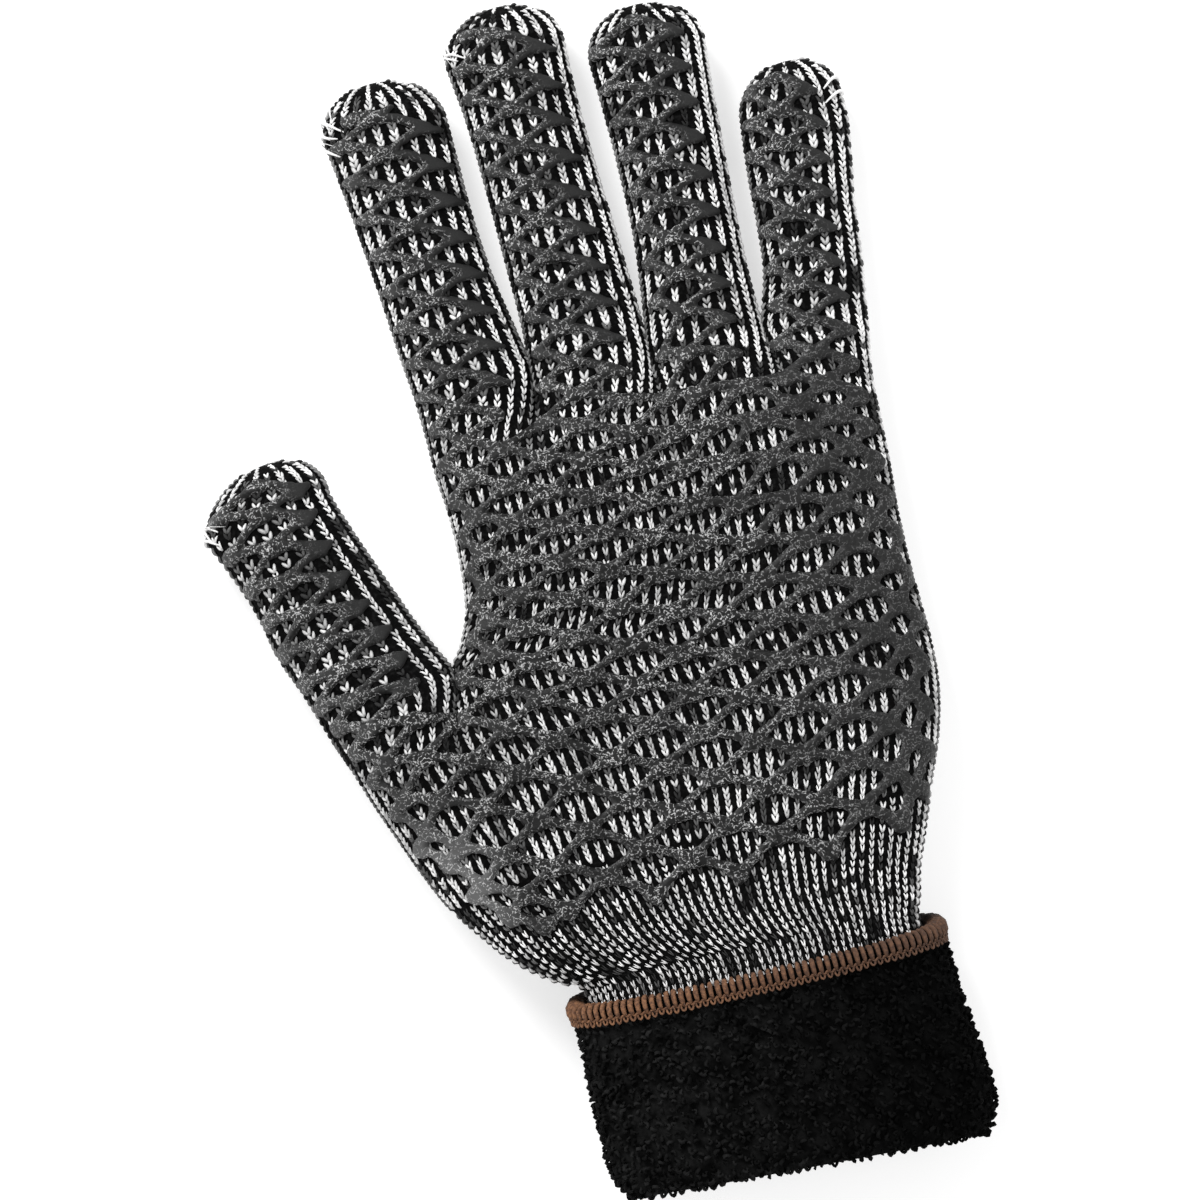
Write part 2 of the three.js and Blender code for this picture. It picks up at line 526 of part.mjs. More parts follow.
function onKnit(x, y) {
  const z = crest(x, y);
  if (z === null) throw new Error(`the net leaves the glove at ${x.toFixed(1)}, ${y.toFixed(1)}`);
  const reach = 1.2;
  const west = crest(x - reach, y) ?? z - 3, east = crest(x + reach, y) ?? z - 3;
  const south = crest(x, y - reach) ?? z, north = crest(x, y + reach) ?? z;
  const facing = new THREE.Vector3((west - east) / (2 * reach), (south - north) / (2 * reach), 1).normalize();
  return { point: new THREE.Vector3(x, y, z), facing };
}

function netNode(path, row) {
  const rows = path.map(([r, x, y]) => ({ r, x, y }));
  return read(rows, "r", row);
}

function netBody() {
  const nodes = new Map(), key = (c, k) => `${c}:${k}`;
  for (const { column, path } of NET_COLUMNS) {
    const odd = Math.abs(column) % 2 === 1;
    for (let k = -2; k < 40; k += 1) {
      if ((Math.abs(k) % 2 === 1) === odd) continue;      // k counts half rows
      const row = k / 2 * NET_COARSEN;
      if (row < path[0][0] - 0.05 || row > path[path.length - 1][0] + 0.05) continue;
      nodes.set(key(column, k), { column, k, ...netNode(path, row) });
    }
  }
  const parted = (left, a, b) => NET_PARTINGS.some((gap) => gap.left === left && Math.max(a.y, b.y) > gap.above);
  const struts = [];
  for (const node of nodes.values()) {
    for (const rise of [1, -1]) {
      const other = nodes.get(key(node.column + 1, node.k + rise));
      if (other && !parted(node.column, node, other)) struts.push({ a: node, b: other, rise });
    }
  }
  for (const node of nodes.values()) node.struts = [];
  for (const strut of struts) {
    strut.a.struts.push(strut.rise > 0 ? "ne" : "se");
    strut.b.struts.push(strut.rise > 0 ? "sw" : "nw");
  }
  const placed = new Map(), spans = [], faces = [];
  const place = (x, y) => {
    const id = `${x.toFixed(3)},${y.toFixed(3)}`;
    if (!placed.has(id)) {
      const { point, facing } = onKnit(x, y);
      placed.set(id, {
        low: point.clone().addScaledVector(facing, NET_LIFT),
        high: point.clone().addScaledVector(facing, NET_LIFT + NET_THICK),
        steep: Math.min(2, 1 / facing.z),
      });
    }
    return placed.get(id);
  };
  const corner = (node, side) => {
    // the point of the node between two of its struts
    const has = (name) => node.struts.includes(name);
    const reach = {
      n: has("ne") && has("nw") ? 1.28 : 1.04, s: has("se") && has("sw") ? 1.28 : 1.04,
      e: has("ne") && has("se") ? 2 : 1, w: has("nw") && has("sw") ? 2 : 1,
    }[side] * NET_STRUT;
    const step = { n: [0, 1], s: [0, -1], e: [1, 0], w: [-1, 0] }[side];
    return [node.x + step[0] * reach, node.y + step[1] * reach];
  };
  // a flat cell of net, given round its edge, seen from above
  const plate = (rim) => {
    faces.push(rim);
    for (let i = 0; i < 4; i += 1) for (let j = i + 1; j < 4; j += 1) spans.push([rim[i], rim[j]]);
  };
  const walls = [];
  for (const node of nodes.values()) {
    if (!node.struts.length) continue;
    const [n, w, s, e] = ["n", "w", "s", "e"].map((side) => place(...corner(node, side)));
    plate([n, w, s, e]);
    const side = { ne: [e, n], nw: [n, w], sw: [w, s], se: [s, e] };
    for (const [name, pair] of Object.entries(side)) if (!node.struts.includes(name)) walls.push(pair);
  }
  for (const { a, b, rise } of struts) {
    const [p, q, r, s] = rise > 0
      ? [corner(a, "n"), corner(a, "e"), corner(b, "s"), corner(b, "w")]
      : [corner(a, "e"), corner(a, "s"), corner(b, "w"), corner(b, "n")];
    const half = (from, to) => [(from[0] + to[0]) / 2, (from[1] + to[1]) / 2];
    const bulge = crest(...half(p, r)) - (crest(...p) + crest(...r)) / 2;
    const one = bulge > 0.3 ? [p, half(p, s), s] : [p, s];
    const two = bulge > 0.3 ? [q, half(q, r), r] : [q, r];
    const [left, right] = [one.map((at) => place(...at)), two.map((at) => place(...at))];
    for (let i = 0; i + 1 < left.length; i += 1) {
      plate([left[i], right[i], right[i + 1], left[i + 1]]);
      walls.push([left[i + 1], left[i]], [right[i], right[i + 1]]);
    }
  }
  // the knit bulges between the corners of a plate: lift them until it is clear of it
  for (let turn = 0; turn < 3; turn += 1) {
    for (const [a, b] of spans) {
      let short = 0;
      for (const f of [0, 0.25, 0.5, 0.75, 1]) {
        const at = a.low.clone().lerp(b.low, f), under = crest(at.x, at.y);
        if (under !== null) short = Math.max(short, under + 0.27 * (a.steep + b.steep) / 2 - at.z);
      }
      for (const end of short > 0 ? [a, b] : []) {
        end.low.z += short;
        end.high.z += short;
      }
    }
  }
  const soup = new Soup();
  for (const [a, b, c, d] of faces) {
    soup.quad(a.high, b.high, c.high, d.high);
    soup.quad(a.low, d.low, c.low, b.low);
  }
  for (const [p, q] of walls) soup.quad(p.low, q.low, q.high, p.high);
  return soup.geometry();
}

const looks = {
  marled_knit: { color: 0x4a4a4a, roughness: 0.95 },
  grip_rubber: { color: 0x333333, roughness: 0.6 },
  black_terry: { color: 0x121212, roughness: 1 },
  brown_thread: { color: 0x7d5230, roughness: 0.9 },
};
const group = new THREE.Group();
group.name = "terry_cloth_glove";
function piece(name, geometry, slot) {
  const material = new THREE.MeshStandardMaterial(looks[slot]);
  material.name = slot;
  const mesh = new THREE.Mesh(geometry, material);
  mesh.name = name;
  group.add(mesh);
}
piece("palm_shell", fromSolid(palmShell), "marled_knit");
for (const [name, solid] of Object.entries(digitShells)) piece(name, fromSolid(solid), "marled_knit");
const net = netBody();
piece("grip_net", net, "grip_rubber");
piece("terry_cuff", cuffBody, "black_terry");
piece("overlock_edge", edgeBody, "brown_thread");

export default group;
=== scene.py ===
"""Looks of the terry cloth glove: marled knit, rubber grip net, terry cuff and overlocked edge.

Millimetres in the tables and in the shape functions; metres in the scene. The glove lies on its
back. +Z is up, +Y runs from the cuff to the fingertips and +X to the little finger's side.
"""
import math

import bmesh
import bpy
import numpy as np
from mathutils import Matrix, Vector, noise
from mathutils.bvhtree import BVHTree
from mathutils.kdtree import KDTree


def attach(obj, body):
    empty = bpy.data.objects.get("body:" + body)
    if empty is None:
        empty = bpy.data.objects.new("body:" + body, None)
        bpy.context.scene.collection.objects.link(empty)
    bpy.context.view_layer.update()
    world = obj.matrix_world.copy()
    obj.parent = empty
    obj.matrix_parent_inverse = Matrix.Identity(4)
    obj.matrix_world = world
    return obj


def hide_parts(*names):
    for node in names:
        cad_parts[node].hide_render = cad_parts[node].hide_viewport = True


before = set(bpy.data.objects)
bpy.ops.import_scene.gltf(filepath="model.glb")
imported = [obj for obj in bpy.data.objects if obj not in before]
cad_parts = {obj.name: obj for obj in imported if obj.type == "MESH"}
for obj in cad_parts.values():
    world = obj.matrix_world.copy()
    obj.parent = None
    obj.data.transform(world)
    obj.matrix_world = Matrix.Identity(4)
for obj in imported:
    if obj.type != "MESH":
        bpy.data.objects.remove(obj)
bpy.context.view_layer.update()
scene = bpy.context.scene

MM = 0.001
WALL = 3.2
PALM_SQUARE = 2.5
DIGIT_SQUARE = 2.15
REST_FLAT = 1.07
WEB_LENGTH = 18
THUMB_WEB = 20
THUMB_CROTCH = 8
FINGER_CROTCH = 68
COURSE = 1.38       # one knitted course along the hand
WRIST_COURSE = 1.62
WALE = 2.75         # width of one knitted column that a stitch is drawn for
FLOOR_GAP = 0.03    # air left under what lies on the floor
NET_FINE = 0.5      # pitch of the grid that the net is drawn on
NET_SUNK = 0.35     # how far the net's rim is sunk into the knit
HIDDEN = 0.55       # a stitch this far inside the net's rim is left out
CUFF_SQUARE = 2.5
TERRY_SPACING, LINING_SPACING = 1.4, 2.6
BIGHTS = 122

# v, leftX, leftY, split, rightX, top, low, mid
PALM = [
    [-111, -38.6, -111, -28, 35.9, 28.6, 4.6, 16.6],
    [-90, -38.6, -90, -28, 35.6, 28.6, 4.6, 16.6],
    [-72, -38.7, -72, -29, 35.6, 28.5, 4.6, 16.55],
    [-66.5, -40.4, -66.5, -31, 35.9, 28.3, 4.6, 16.45],
    [-64.5, -44.6, -64.8, -33, 36.8, 28.2, 4.3, 16.25],
    [-58, -52.4, -58.8, -38, 38.4, 28.1, 2.6, 15.35],
    [-50, -58.2, -52, -42, 41.5, 28, 0.4, 14.2],
    [-40, -64.2, -43.5, -45, 45.2, 27.6, 0, 13.8],
    [-30, -68.1, -35.5, -47, 49, 27.2, 0, 13.6],
    [-20, -71.6, -27, -48.5, 51.4, 26.8, 0, 13.4],
    [-10, -75.2, -18, -49.8, 52, 26.4, 0, 13.2],
    [0, -78.6, -8.5, -51, 51.6, 26, 0, 13],
    [8, -81, -2.5, -52, 51.3, 25.6, 0, 12.8],
    [11, -81, -2.5, -49.6, 51.2, 25.5, 0, 12.75],
    [15, -81, -2.5, -47.5, 51.3, 25.4, 0, 12.7],
    [20, -81, -2.5, -45.8, 51.3, 25.3, 0, 12.65],
    [30, -81, -2.5, -44.8, 51.9, 25.1, 0, 12.55],
    [40, -81, -2.5, -44.8, 52.2, 24.8, 0, 12.4],
    [50, -81, -2.5, -45.7, 52.5, 24, 0, 12],
    [60, -81, -2.5, -46, 54, 22, 0, 11],
    [68, -81, -2.5, -46.5, 55, 20, 0, 10],
]

# each row: v, leftX, leftY, rightX, rightY, top, low, mid
DIGITS = {
    "thumb": dict(start=-11, end=0, wales=10, tip=(-83.2, 60.7, 10), rows=[
        [-30, -68.1, -35.5, -47, -30, 27.5, 0, 13.6],
        [-20, -71.6, -27, -48.5, -20, 27, 0, 13.4],
        [-10, -75.2, -18, -49.8, -10, 26, 0, 13.2],
        [0, -78.6, -8.5, -51, 0, 24.6, 0, 13],
        [8, -81, -2.5, -52, 8, 23.4, 0, 12.8],
        [18, -84.9, 9, -57, 18, 22, 0, 11],
        [28, -88.7, 18.8, -61.1, 28, 21, 0, 10.5],
        [38, -91.2, 29.4, -65.1, 38, 20.2, 0.1, 10.15],
        [46, -95, 39.4, -68.1, 46, 19.4, 0.4, 9.9],
        [51, -98.3, 46.5, -69.9, 51.5, 18.6, 0.9, 9.75],
    ]),
    "index_finger": dict(start=0, end=11, wales=10, tip=(-40.6, 137.5, 8.6), rows=[
        [50, -45.7, 50, -20, 50, 21.5, 0, 10.8],
        [60, -46, 60, -20.1, 60.6, 20, 0, 10],
        [68, -46.5, 68.2, -20.2, 69.5, 18.8, 0, 9.3],
        [78, -47.6, 78, -21.9, 78.3, 18, 0, 9],
        [90, -48.7, 90, -24.1, 90.3, 17.6, 0, 8.8],
        [105, -50.3, 105, -25.5, 105.3, 17.3, 0.1, 8.7],
        [118, -51.9, 117.8, -25.9, 118.4, 17, 0.4, 8.7],
        [126.5, -53.1, 126, -26.2, 127, 16.6, 0.9, 8.75],
    ]),
    "middle_finger": dict(start=11, end=22, wales=10, tip=(-9.6, 147.7, 8.8), rows=[
        [50, -20, 50, 5.5, 50, 21.5, 0, 10.8],
        [60, -20.1, 60.6, 5.8, 60, 20, 0, 10],
        [68, -20.2, 69.5, 6, 67.8, 18.9, 0, 9.3],
        [78, -19.8, 78.3, 5.6, 78, 18.2, 0, 9.1],
        [92, -20.2, 92, 4.7, 92, 17.8, 0, 8.9],
        [108, -20.7, 108, 3.6, 108, 17.5, 0.1, 8.8],
        [124, -21.6, 124, 2.9, 124, 17.2, 0.5, 8.85],
        [137, -23.2, 136.8, 3, 137.3, 16.8, 1, 8.9],
    ]),
    "ring_finger": dict(start=22, end=33, wales=10, tip=(20.6, 141.4, 8.7), rows=[
        [50, 5.5, 50, 30.5, 50, 21.5, 0, 10.8],
        [60, 5.8, 60, 31.1, 59.4, 20, 0, 10],
        [68, 6, 67.8, 31.5, 66, 18.8, 0, 9.3],
        [78, 7.4, 78, 31.1, 77.4, 18, 0, 9],
        [92, 8.7, 92, 31.3, 92, 17.7, 0, 8.85],
        [106, 8.8, 106, 31.9, 106, 17.4, 0.1, 8.75],
        [120, 8.4, 120, 32.5, 120, 17, 0.5, 8.75],
        [131, 7.8, 131, 33.3, 131, 16.6, 1, 8.8],
    ]),
    "little_finger": dict(start=33, end=43, wales=9, tip=(49.3, 121.8, 8.2), rows=[
        [50, 30.5, 50, 52.5, 50, 21, 0, 10.8],
        [60, 31.1, 59.4, 54, 59.6, 19, 0, 10],
        [68, 31.5, 66, 55, 66.6, 17.6, 0, 9.3],
        [78, 34.8, 77.4, 56.4, 77.2, 16.8, 0, 8.4],
        [88, 35.8, 88, 57.4, 88, 16.5, 0.1, 8.3],
        [98, 36.2, 98, 59, 98.2, 16.2, 0.3, 8.25],
        [106, 36.8, 105.8, 60.1, 106.4, 16, 0.6, 8.3],
        [111.5, 37.3, 111, 60, 112, 15.6, 1, 8.3],
    ]),
}
THUMB_WALES, FINGER_WALES = 11, 43

# x, y, reachX, reachY, height
SWELLS = [[-60, -14, 15, 26, 4], [34, -18, 15, 26, 2.4], [-4, -6, 17, 30, -2]]

# y, leftX, rightX, top, low
CUFF = [
    [-116.5, -43.4, 43.8, 33.2, 0],
    [-105, -43.6, 43.9, 33.4, 0],
    [-90, -43.5, 42, 33.2, 0],
    [-73, -43.3, 40.6, 33, 0],
    [-66, -44.6, 39.9, 33.2, 0],
]
# how far the cut edge is drawn down on the crest and forward on the floor side
EDGE_CREST, EDGE_FLOOR = -2.3, 2.7
EDGE_AT = -71.8
# the terry's loops begin here at the floor, and this much farther down for each mm of height
EDGE_FOOT, EDGE_LEAN = -71.4, 0.152
# inset, y
CUFF_PROFILE = [
    [3.2, -70.5], [0, -70.5], [0, -80], [0, -92], [0, -106], [0.6, -111], [2.2, -114.6],
    [4.4, -116], [6.6, -115], [7.7, -112.6], [7.9, -111.3], [4.1, -111.3], [4, -92], [4, -76],
]

# the net's lattice: column, then row, x, y of points that its nodes lie between
NET_COLUMNS = {
    -9: [[1.5, -66, -34], [3.5, -72.6, -16.5], [5.5, -78.2, -2.5], [8, -85, 11], [9, -88, 18.5],
         [10, -89.7, 26], [11, -91.9, 34], [12, -94.5, 42.1], [13, -96.5, 50.5]],
    -8: [[0.5, -58.3, -42], [3, -67, -22.5], [5, -72, -5.4], [6.5, -74.7, 5.6],
         [8.5, -78.6, 19.3], [10.5, -83, 34.4], [12.5, -85.2, 50], [13.5, -84.8, 56.3]],
    -7: [[0, -51.5, -48.8], [1.5, -57.7, -36.2], [3.5, -62.1, -15], [5.5, -62.4, 2.4],
         [7.5, -64.8, 15.4], [9.5, -71.2, 28.8], [12, -76.4, 47.2], [13, -76.7, 53.3]],
    -6: [[-0.5, -44.8, -52], [1, -49.3, -40.2], [3, -52, -18.2], [5, -52.6, 0.6],
         [6, -48.6, 8.6], [7, -44.4, 16.5], [9, -42.9, 31], [12, -43.9, 55.5],
         [14.5, -44.9, 75], [18, -47.5, 104], [20.5, -49.9, 125], [21.5, -46.6, 130]],
    -5: [[0, -38.5, -50], [1.5, -40.5, -34.9], [3.5, -43.1, -12.9], [5.5, -43, 5],
         [8.5, -40.4, 26.3], [11.5, -38.6, 51.4], [14.5, -38, 75], [17.5, -38.8, 100],
         [21, -41, 129.6]],
    -4: [[0.5, -29, -44.5], [3, -33, -17.7], [5, -34.8, 1.2], [8, -33.5, 23.5],
         [11, -30.8, 48], [14, -29, 71.6], [17, -29.4, 96], [20.6, -31.6, 126]],
    -3: [[0, -19.3, -51], [2.5, -21.6, -24.3], [5.5, -23.7, 3.5], [8.5, -23.2, 29],
         [11.5, -21.4, 51.4], [12.6, -19.2, 60.5], [14, -17.6, 71], [18, -18.2, 104],
         [21, -20.2, 128.9], [22, -20.6, 135.4], [23, -17.8, 142.4]],
    -2: [[0.5, -10.1, -44.8], [3, -12, -19], [5, -13.2, -0.6], [8, -13.7, 24.8],
         [11, -12.5, 49.5], [14, -11.8, 71.2], [18, -11.4, 103.5], [22.5, -11.4, 141.5]],
    -1: [[0, -0.3, -50.3], [2.5, -0.9, -23.5], [4.5, -1.8, -5], [7.5, -2.7, 21.8],
         [11.5, -2.3, 52.9], [13.5, -2.6, 67.4], [17.5, -2.9, 100], [22, -3.2, 137]],
    0: [[0.5, 9.8, -44], [2, 9.7, -27.9], [4, 8.8, -8], [7, 8, 18], [10, 8, 43],
        [11.5, 7.6, 54.5], [12.5, 8.6, 64], [13.5, 9.8, 76], [17, 10.8, 105], [19.5, 9.8, 124.3],
        [20.5, 8.8, 132.4]],
    1: [[0, 20, -50], [2.5, 19, -22.6], [4.5, 19.5, -2], [7.5, 17.9, 24],
        [9.5, 16.3, 42.7], [11.5, 13.6, 58.3], [12.5, 14.4, 68.5], [15, 15.6, 89.1],
        [17, 17.2, 105.6], [19, 18.4, 122.2], [21, 18.5, 137.8]],
    2: [[0, 28.6, -48], [2, 30, -26.5], [4, 30.2, -5.8], [7, 29.3, 22.5],
        [9, 25.8, 41.5], [11, 23.4, 57.9], [12, 23.6, 65.5], [14.5, 25, 85.2],
        [17.5, 26.2, 109.9], [20.5, 26.7, 133.6]],
    3: [[0, 36.6, -47.5], [1.5, 38.7, -31], [3.5, 40.4, -10.7], [5, 41.4, 4.6], [6, 40.6, 14.6],
        [7.5, 38.4, 28.6], [8.5, 36.6, 37.7], [10.5, 34.2, 50], [11.5, 33.6, 57],
        [12.5, 34.6, 65.5], [13.5, 36, 73.5], [17, 37.6, 102.6], [19, 40.2, 116.1]],
    4: [[0.5, 40.6, -41], [1.5, 42.8, -30.5], [2.5, 45, -20], [4, 46.6, -5.4], [5.5, 47.5, 8.6],
        [7, 46, 23.3],
        [10, 42.8, 46.5], [12, 41.2, 61], [14, 42, 76.5], [17, 44.7, 99.8], [19.5, 46.9, 118.3]],
    5: [[0, 43.2, -41.6], [1, 46.1, -33.3], [2, 47.6, -24], [3, 49.1, -14.5], [4, 50.4, -5],
        [5, 50.8, 4.6], [6, 50.3, 14], [8.5, 49.2, 35], [10.5, 48.8, 49.5],
        [12.5, 49, 65], [15.5, 50.2, 88], [18, 52.8, 106.9], [19, 52.3, 114.6]],
}
# left column, right column, and the y above which no strut joins them
NET_PARTINGS = [[-7, -6, 2], [-4, -3, 59], [-1, 0, 59], [2, 3, 57]]
# column, the y above which each of its nodes runs out sideways, and how far
NET_SPURS = [
    [-7, 4, 2.8, 1.0], [-6, 62, -1.6, 0.1], [-4, 62, 3.8, -1.3], [-3, 62, -0.9, 0.1],
    [-1, 62, 3.8, -1.4], [0, 62, -0.7, 0.1], [2, 60, 1.8, -0.6], [3, 60, -0.9, 0.1],
    [5, 60, 2.0, -0.8], [-5, 129, 3.6, 1.6],
]


def read(rows, at, crotch=1e9):
    """Smooth reading of a table by its first column, broken at a crotch."""
    rows, at = np.array(rows, float), np.atleast_1d(np.asarray(at, float))
    out = np.empty(at.shape + (rows.shape[1],))
    for part, pick in ((rows[rows[:, 0] <= crotch], at <= crotch),
                       (rows[rows[:, 0] >= crotch], at > crotch)):
        if not pick.any():
            continue
        key, last = part[:, 0], len(part) - 1
        where = np.clip(at[pick], key[0], key[last])
        i = np.clip(np.searchsorted(key, where) - 1, 0, last - 1)
        a, b = part[i], part[i + 1]
        before, after = part[np.maximum(i - 1, 0)], part[np.minimum(i + 2, last)]
        span = b[:, :1] - a[:, :1]
        t = (where[:, None] - a[:, :1]) / span
        slope_a = (b - before) / (b[:, :1] - before[:, :1]) * span
        slope_b = (after - a) / (after[:, :1] - a[:, :1]) * span
        out[pick] = ((2 * t**3 - 3 * t**2 + 1) * a + (t**3 - 2 * t**2 + t) * slope_a
                     + (3 * t**2 - 2 * t**3) * b + (t**3 - t**2) * slope_b)
    return out


def unit(vectors):
    return vectors / np.maximum(1e-9, np.linalg.norm(vectors, axis=1, keepdims=True))


def ease(start, end, at):
    t = np.clip((at - start) / (end - start), 0, 1)
    return t * t * (3 - 2 * t)


def arch(across, power):
    return np.maximum(0, 1 - np.abs(2 * across - 1) ** power) ** (1 / power)


def unroller(flatness, power):
    """Fraction of the stretched cloth to fraction of the width."""
    part = np.linspace(0, 1, 401)
    rise = np.diff(arch(part, power)) / flatness / 2
    along = np.concatenate(([0], np.cumsum(np.hypot(1 / 400, rise))))
    return lambda fraction: np.interp(np.clip(fraction, 0, 1) * along[-1], along, part)


unroll_palm = unroller(3.9, PALM_SQUARE)
unroll_digit = unroller(1.45, DIGIT_SQUARE)


def height(mid, top, low, across, power, upper):
    full = arch(across, power)
    return np.where(upper, mid + (top - mid) * full,
                    mid - (mid - low) * np.minimum(1, REST_FLAT * full))


def whole_ring(u, v, upper, inset):
    _, left_x, left_y, split, right_x, top, low, mid = read(PALM, v, THUMB_CROTCH).T
    left_x, right_x = left_x + inset, right_x - inset
    across = unroll_palm((u + THUMB_WALES) / (THUMB_WALES + FINGER_WALES))
    x = left_x + (right_x - left_x) * across
    beyond = np.maximum(0, (split - x) / (split - left_x))
    y = v + (left_y - v) * beyond**1.3
    return np.stack([x, y, height(mid, top - inset, low + inset, across, PALM_SQUARE, upper)], 1)


def palm_ring(u, v, upper, inset):
    _, _, _, split, right_x, top, low, mid = read(PALM, v, THUMB_CROTCH).T
    across = unroll_palm(u / FINGER_WALES)
    x = split + inset + (right_x - split - 2 * inset) * across
    return np.stack([x, v, height(mid, top - inset, low + inset, across, PALM_SQUARE, upper)], 1)


def digit_ring(name, fraction, v, upper, inset):
    """A ring of one digit; past its last row it closes as half an ellipsoid."""
    digit = DIGITS[name]
    crotch = THUMB_CROTCH if name == "thumb" else FINGER_CROTCH
    row = read(digit["rows"], v, crotch)
    left, right = row[:, 1:3], row[:, 3:5]
    toward = unit(right - left)
    left, right = left + toward * inset, right - toward * inset
    across = unroll_digit(fraction)
    flat = left + (right - left) * across[:, None]
    z = height(row[:, 7], row[:, 5] - inset, row[:, 6] + inset, across, DIGIT_SQUARE, upper)
    point = np.column_stack([flat, z])
    last = digit["rows"][-1]
    middle = np.array([(last[1] + last[3]) / 2, (last[2] + last[4]) / 2, digit["tip"][2]])
    tip = np.array(digit["tip"], float)
    reach = np.linalg.norm(tip - middle)
    tip = tip + (middle - tip) * inset / reach
    s = np.clip((v - last[0]) / (reach - inset), 0, 1)[:, None]
    round_end = (point - middle) * np.sqrt(1 - s * s) + middle + (tip - middle) * s
    return np.where(s > 0, round_end, point)


def wale_of(digit, fraction):
    return digit["start"] + (digit["end"] - digit["start"]) * fraction


def tip_reach(name):
    last = DIGITS[name]["rows"][-1]
    tip = DIGITS[name]["tip"]
    return math.hypot((last[1] + last[3]) / 2 - tip[0], (last[2] + last[4]) / 2 - tip[1])


def skin(name, fraction, v, upper, inset=0.0):
    """The outside of the knit: digit, fraction across it, course and side."""
    fraction, v, upper = np.broadcast_arrays(np.asarray(fraction, float), np.asarray(v, float), upper)
    digit = DIGITS[name]
    u = wale_of(digit, fraction)
    thumb_web = (1 - ease(THUMB_CROTCH - THUMB_WEB, THUMB_CROTCH, v))[:, None]
    point = digit_ring(name, fraction, v, upper, inset)
    if name != "thumb":
        palm = palm_ring(u, v, upper, inset)
        point = palm + (point - palm) * ease(FINGER_CROTCH - WEB_LENGTH, FINGER_CROTCH, v)[:, None]
    point = point + (whole_ring(u, v, upper, inset) - point) * thumb_web
    whole = arch((u + THUMB_WALES) / (THUMB_WALES + FINGER_WALES), 2)
    own = arch(fraction if name == "thumb" else u / FINGER_WALES, 2)
    hold = whole + (own - whole) * ease(THUMB_CROTCH - THUMB_WEB, THUMB_CROTCH, v)
    hold = hold * (1 - ease(20, 45, v)) * upper
    for x, y, reach_x, reach_y, rise in SWELLS:
        point[:, 2] += rise * hold * np.exp(-((point[:, 0] - x) / reach_x) ** 2
                                            - ((point[:, 1] - y) / reach_y) ** 2)
    return point


def skin_frame(name, fraction, v, upper):
    """Point, outward normal and direction toward the fingertips."""
    fraction, v, upper = np.broadcast_arrays(fraction, v, upper)
    point = skin(name, fraction, v, upper)
    f0, f1 = np.clip(fraction - 0.02, 0, 1), np.clip(fraction + 0.02, 0, 1)
    across = skin(name, f1, v, upper) - skin(name, f0, v, upper)
    along = skin(name, fraction, v + 0.4, upper) - skin(name, fraction, v - 0.4, upper)
    normal = np.cross(across, along) * np.where(upper, 1, -1)[:, None]
    return point, unit(normal), unit(along)


def tip_courses(name, start, pitch):
    """Courses from one row to the fingertip, closer in v where the cloth turns over the tip."""
    end = DIGITS[name]["rows"][-1][0]
    count = max(1, round((end - start) / pitch))
    straight = start + (end - start) * np.arange(count) / count
    reach = tip_reach(name)
    turns = max(3, round(reach * 1.75 / pitch))
    return np.concatenate([straight, end + reach * np.sin(np.linspace(0, math.pi / 2, turns + 1))])


def in_scene(name, data):
    obj = bpy.data.objects.new(name, data)
    scene.collection.objects.link(obj)
    return obj


def mesh_of(name, points, faces=()):
    """A mesh in metres from points in millimetres."""
    mesh = bpy.data.meshes.new(name)
    mesh.from_pydata((np.asarray(points) * MM).tolist(), [], faces)
    return mesh


def per_vertex(mesh, key):
    """The mesh's co or normal as rows of x, y, z."""
    values = np.empty(len(mesh.vertices) * 3, np.float32)
    mesh.vertices.foreach_get(key, values)
    return values.reshape(-1, 3)


def give(mesh, name, values):
    """Stores one number per point, for a material to read."""
    mesh.attributes.new(name, "FLOAT", "POINT").data.foreach_set(
        "value", np.asarray(values, np.float32))


class Pieces:
    """Points, faces and one UV place per corner, gathered for a mesh."""

    def __init__(self):
        self.points, self.faces, self.places = [], [], []

    def grid(self, points, places, flip=False):
        """A grid of points [row, column, xyz] with a place on the UV map for each."""
        rows, columns = points.shape[:2]
        first = len(self.points)
        self.points += points.reshape(-1, 3).tolist()
        flat = places.reshape(-1, 2)
        for j in range(rows - 1):
            for i in range(columns - 1):
                a = j * columns + i
                b, c, d = a + 1, a + columns + 1, a + columns
                order = (a, d, c, b) if flip else (a, b, c, d)
                self.faces.append([first + k for k in order])
                self.places += [flat[k] for k in order]

    def object(self, name, material, weld=0.0):
        mesh = mesh_of(name, self.points, self.faces)
        if self.places:
            layer = mesh.uv_layers.new(name="OFBake")
            layer.data.foreach_set("uv", np.array(self.places, np.float32).ravel())
        mesh.materials.append(material)
        if weld:
            work = bmesh.new()
            work.from_mesh(mesh)
            bmesh.ops.remove_doubles(work, verts=work.verts, dist=weld * MM)
            bmesh.ops.dissolve_degenerate(work, dist=weld * MM * 0.1, edges=work.edges)
            work.to_mesh(mesh)
            work.free()
        mesh.shade_smooth()
        return in_scene(name, mesh)


class Maker:
    """Makes and joins the nodes of one tree."""

    def __init__(self, tree):
        self.tree = tree

    def node(self, kind, inputs=None, **settings):
        node = self.tree.nodes.new(kind)
        for key, value in settings.items():
            setattr(node, key, value)
        for key, value in (inputs or {}).items():
            value = getattr(value, "socket", value)
            if isinstance(value, bpy.types.NodeSocket):
                self.tree.links.new(value, node.inputs[key])
            else:
                node.inputs[key].default_value = value
        return node

    def value(self, kind, inputs=None, output=0, **settings):
        return Value(self, self.node(kind, inputs, **settings).outputs[output])


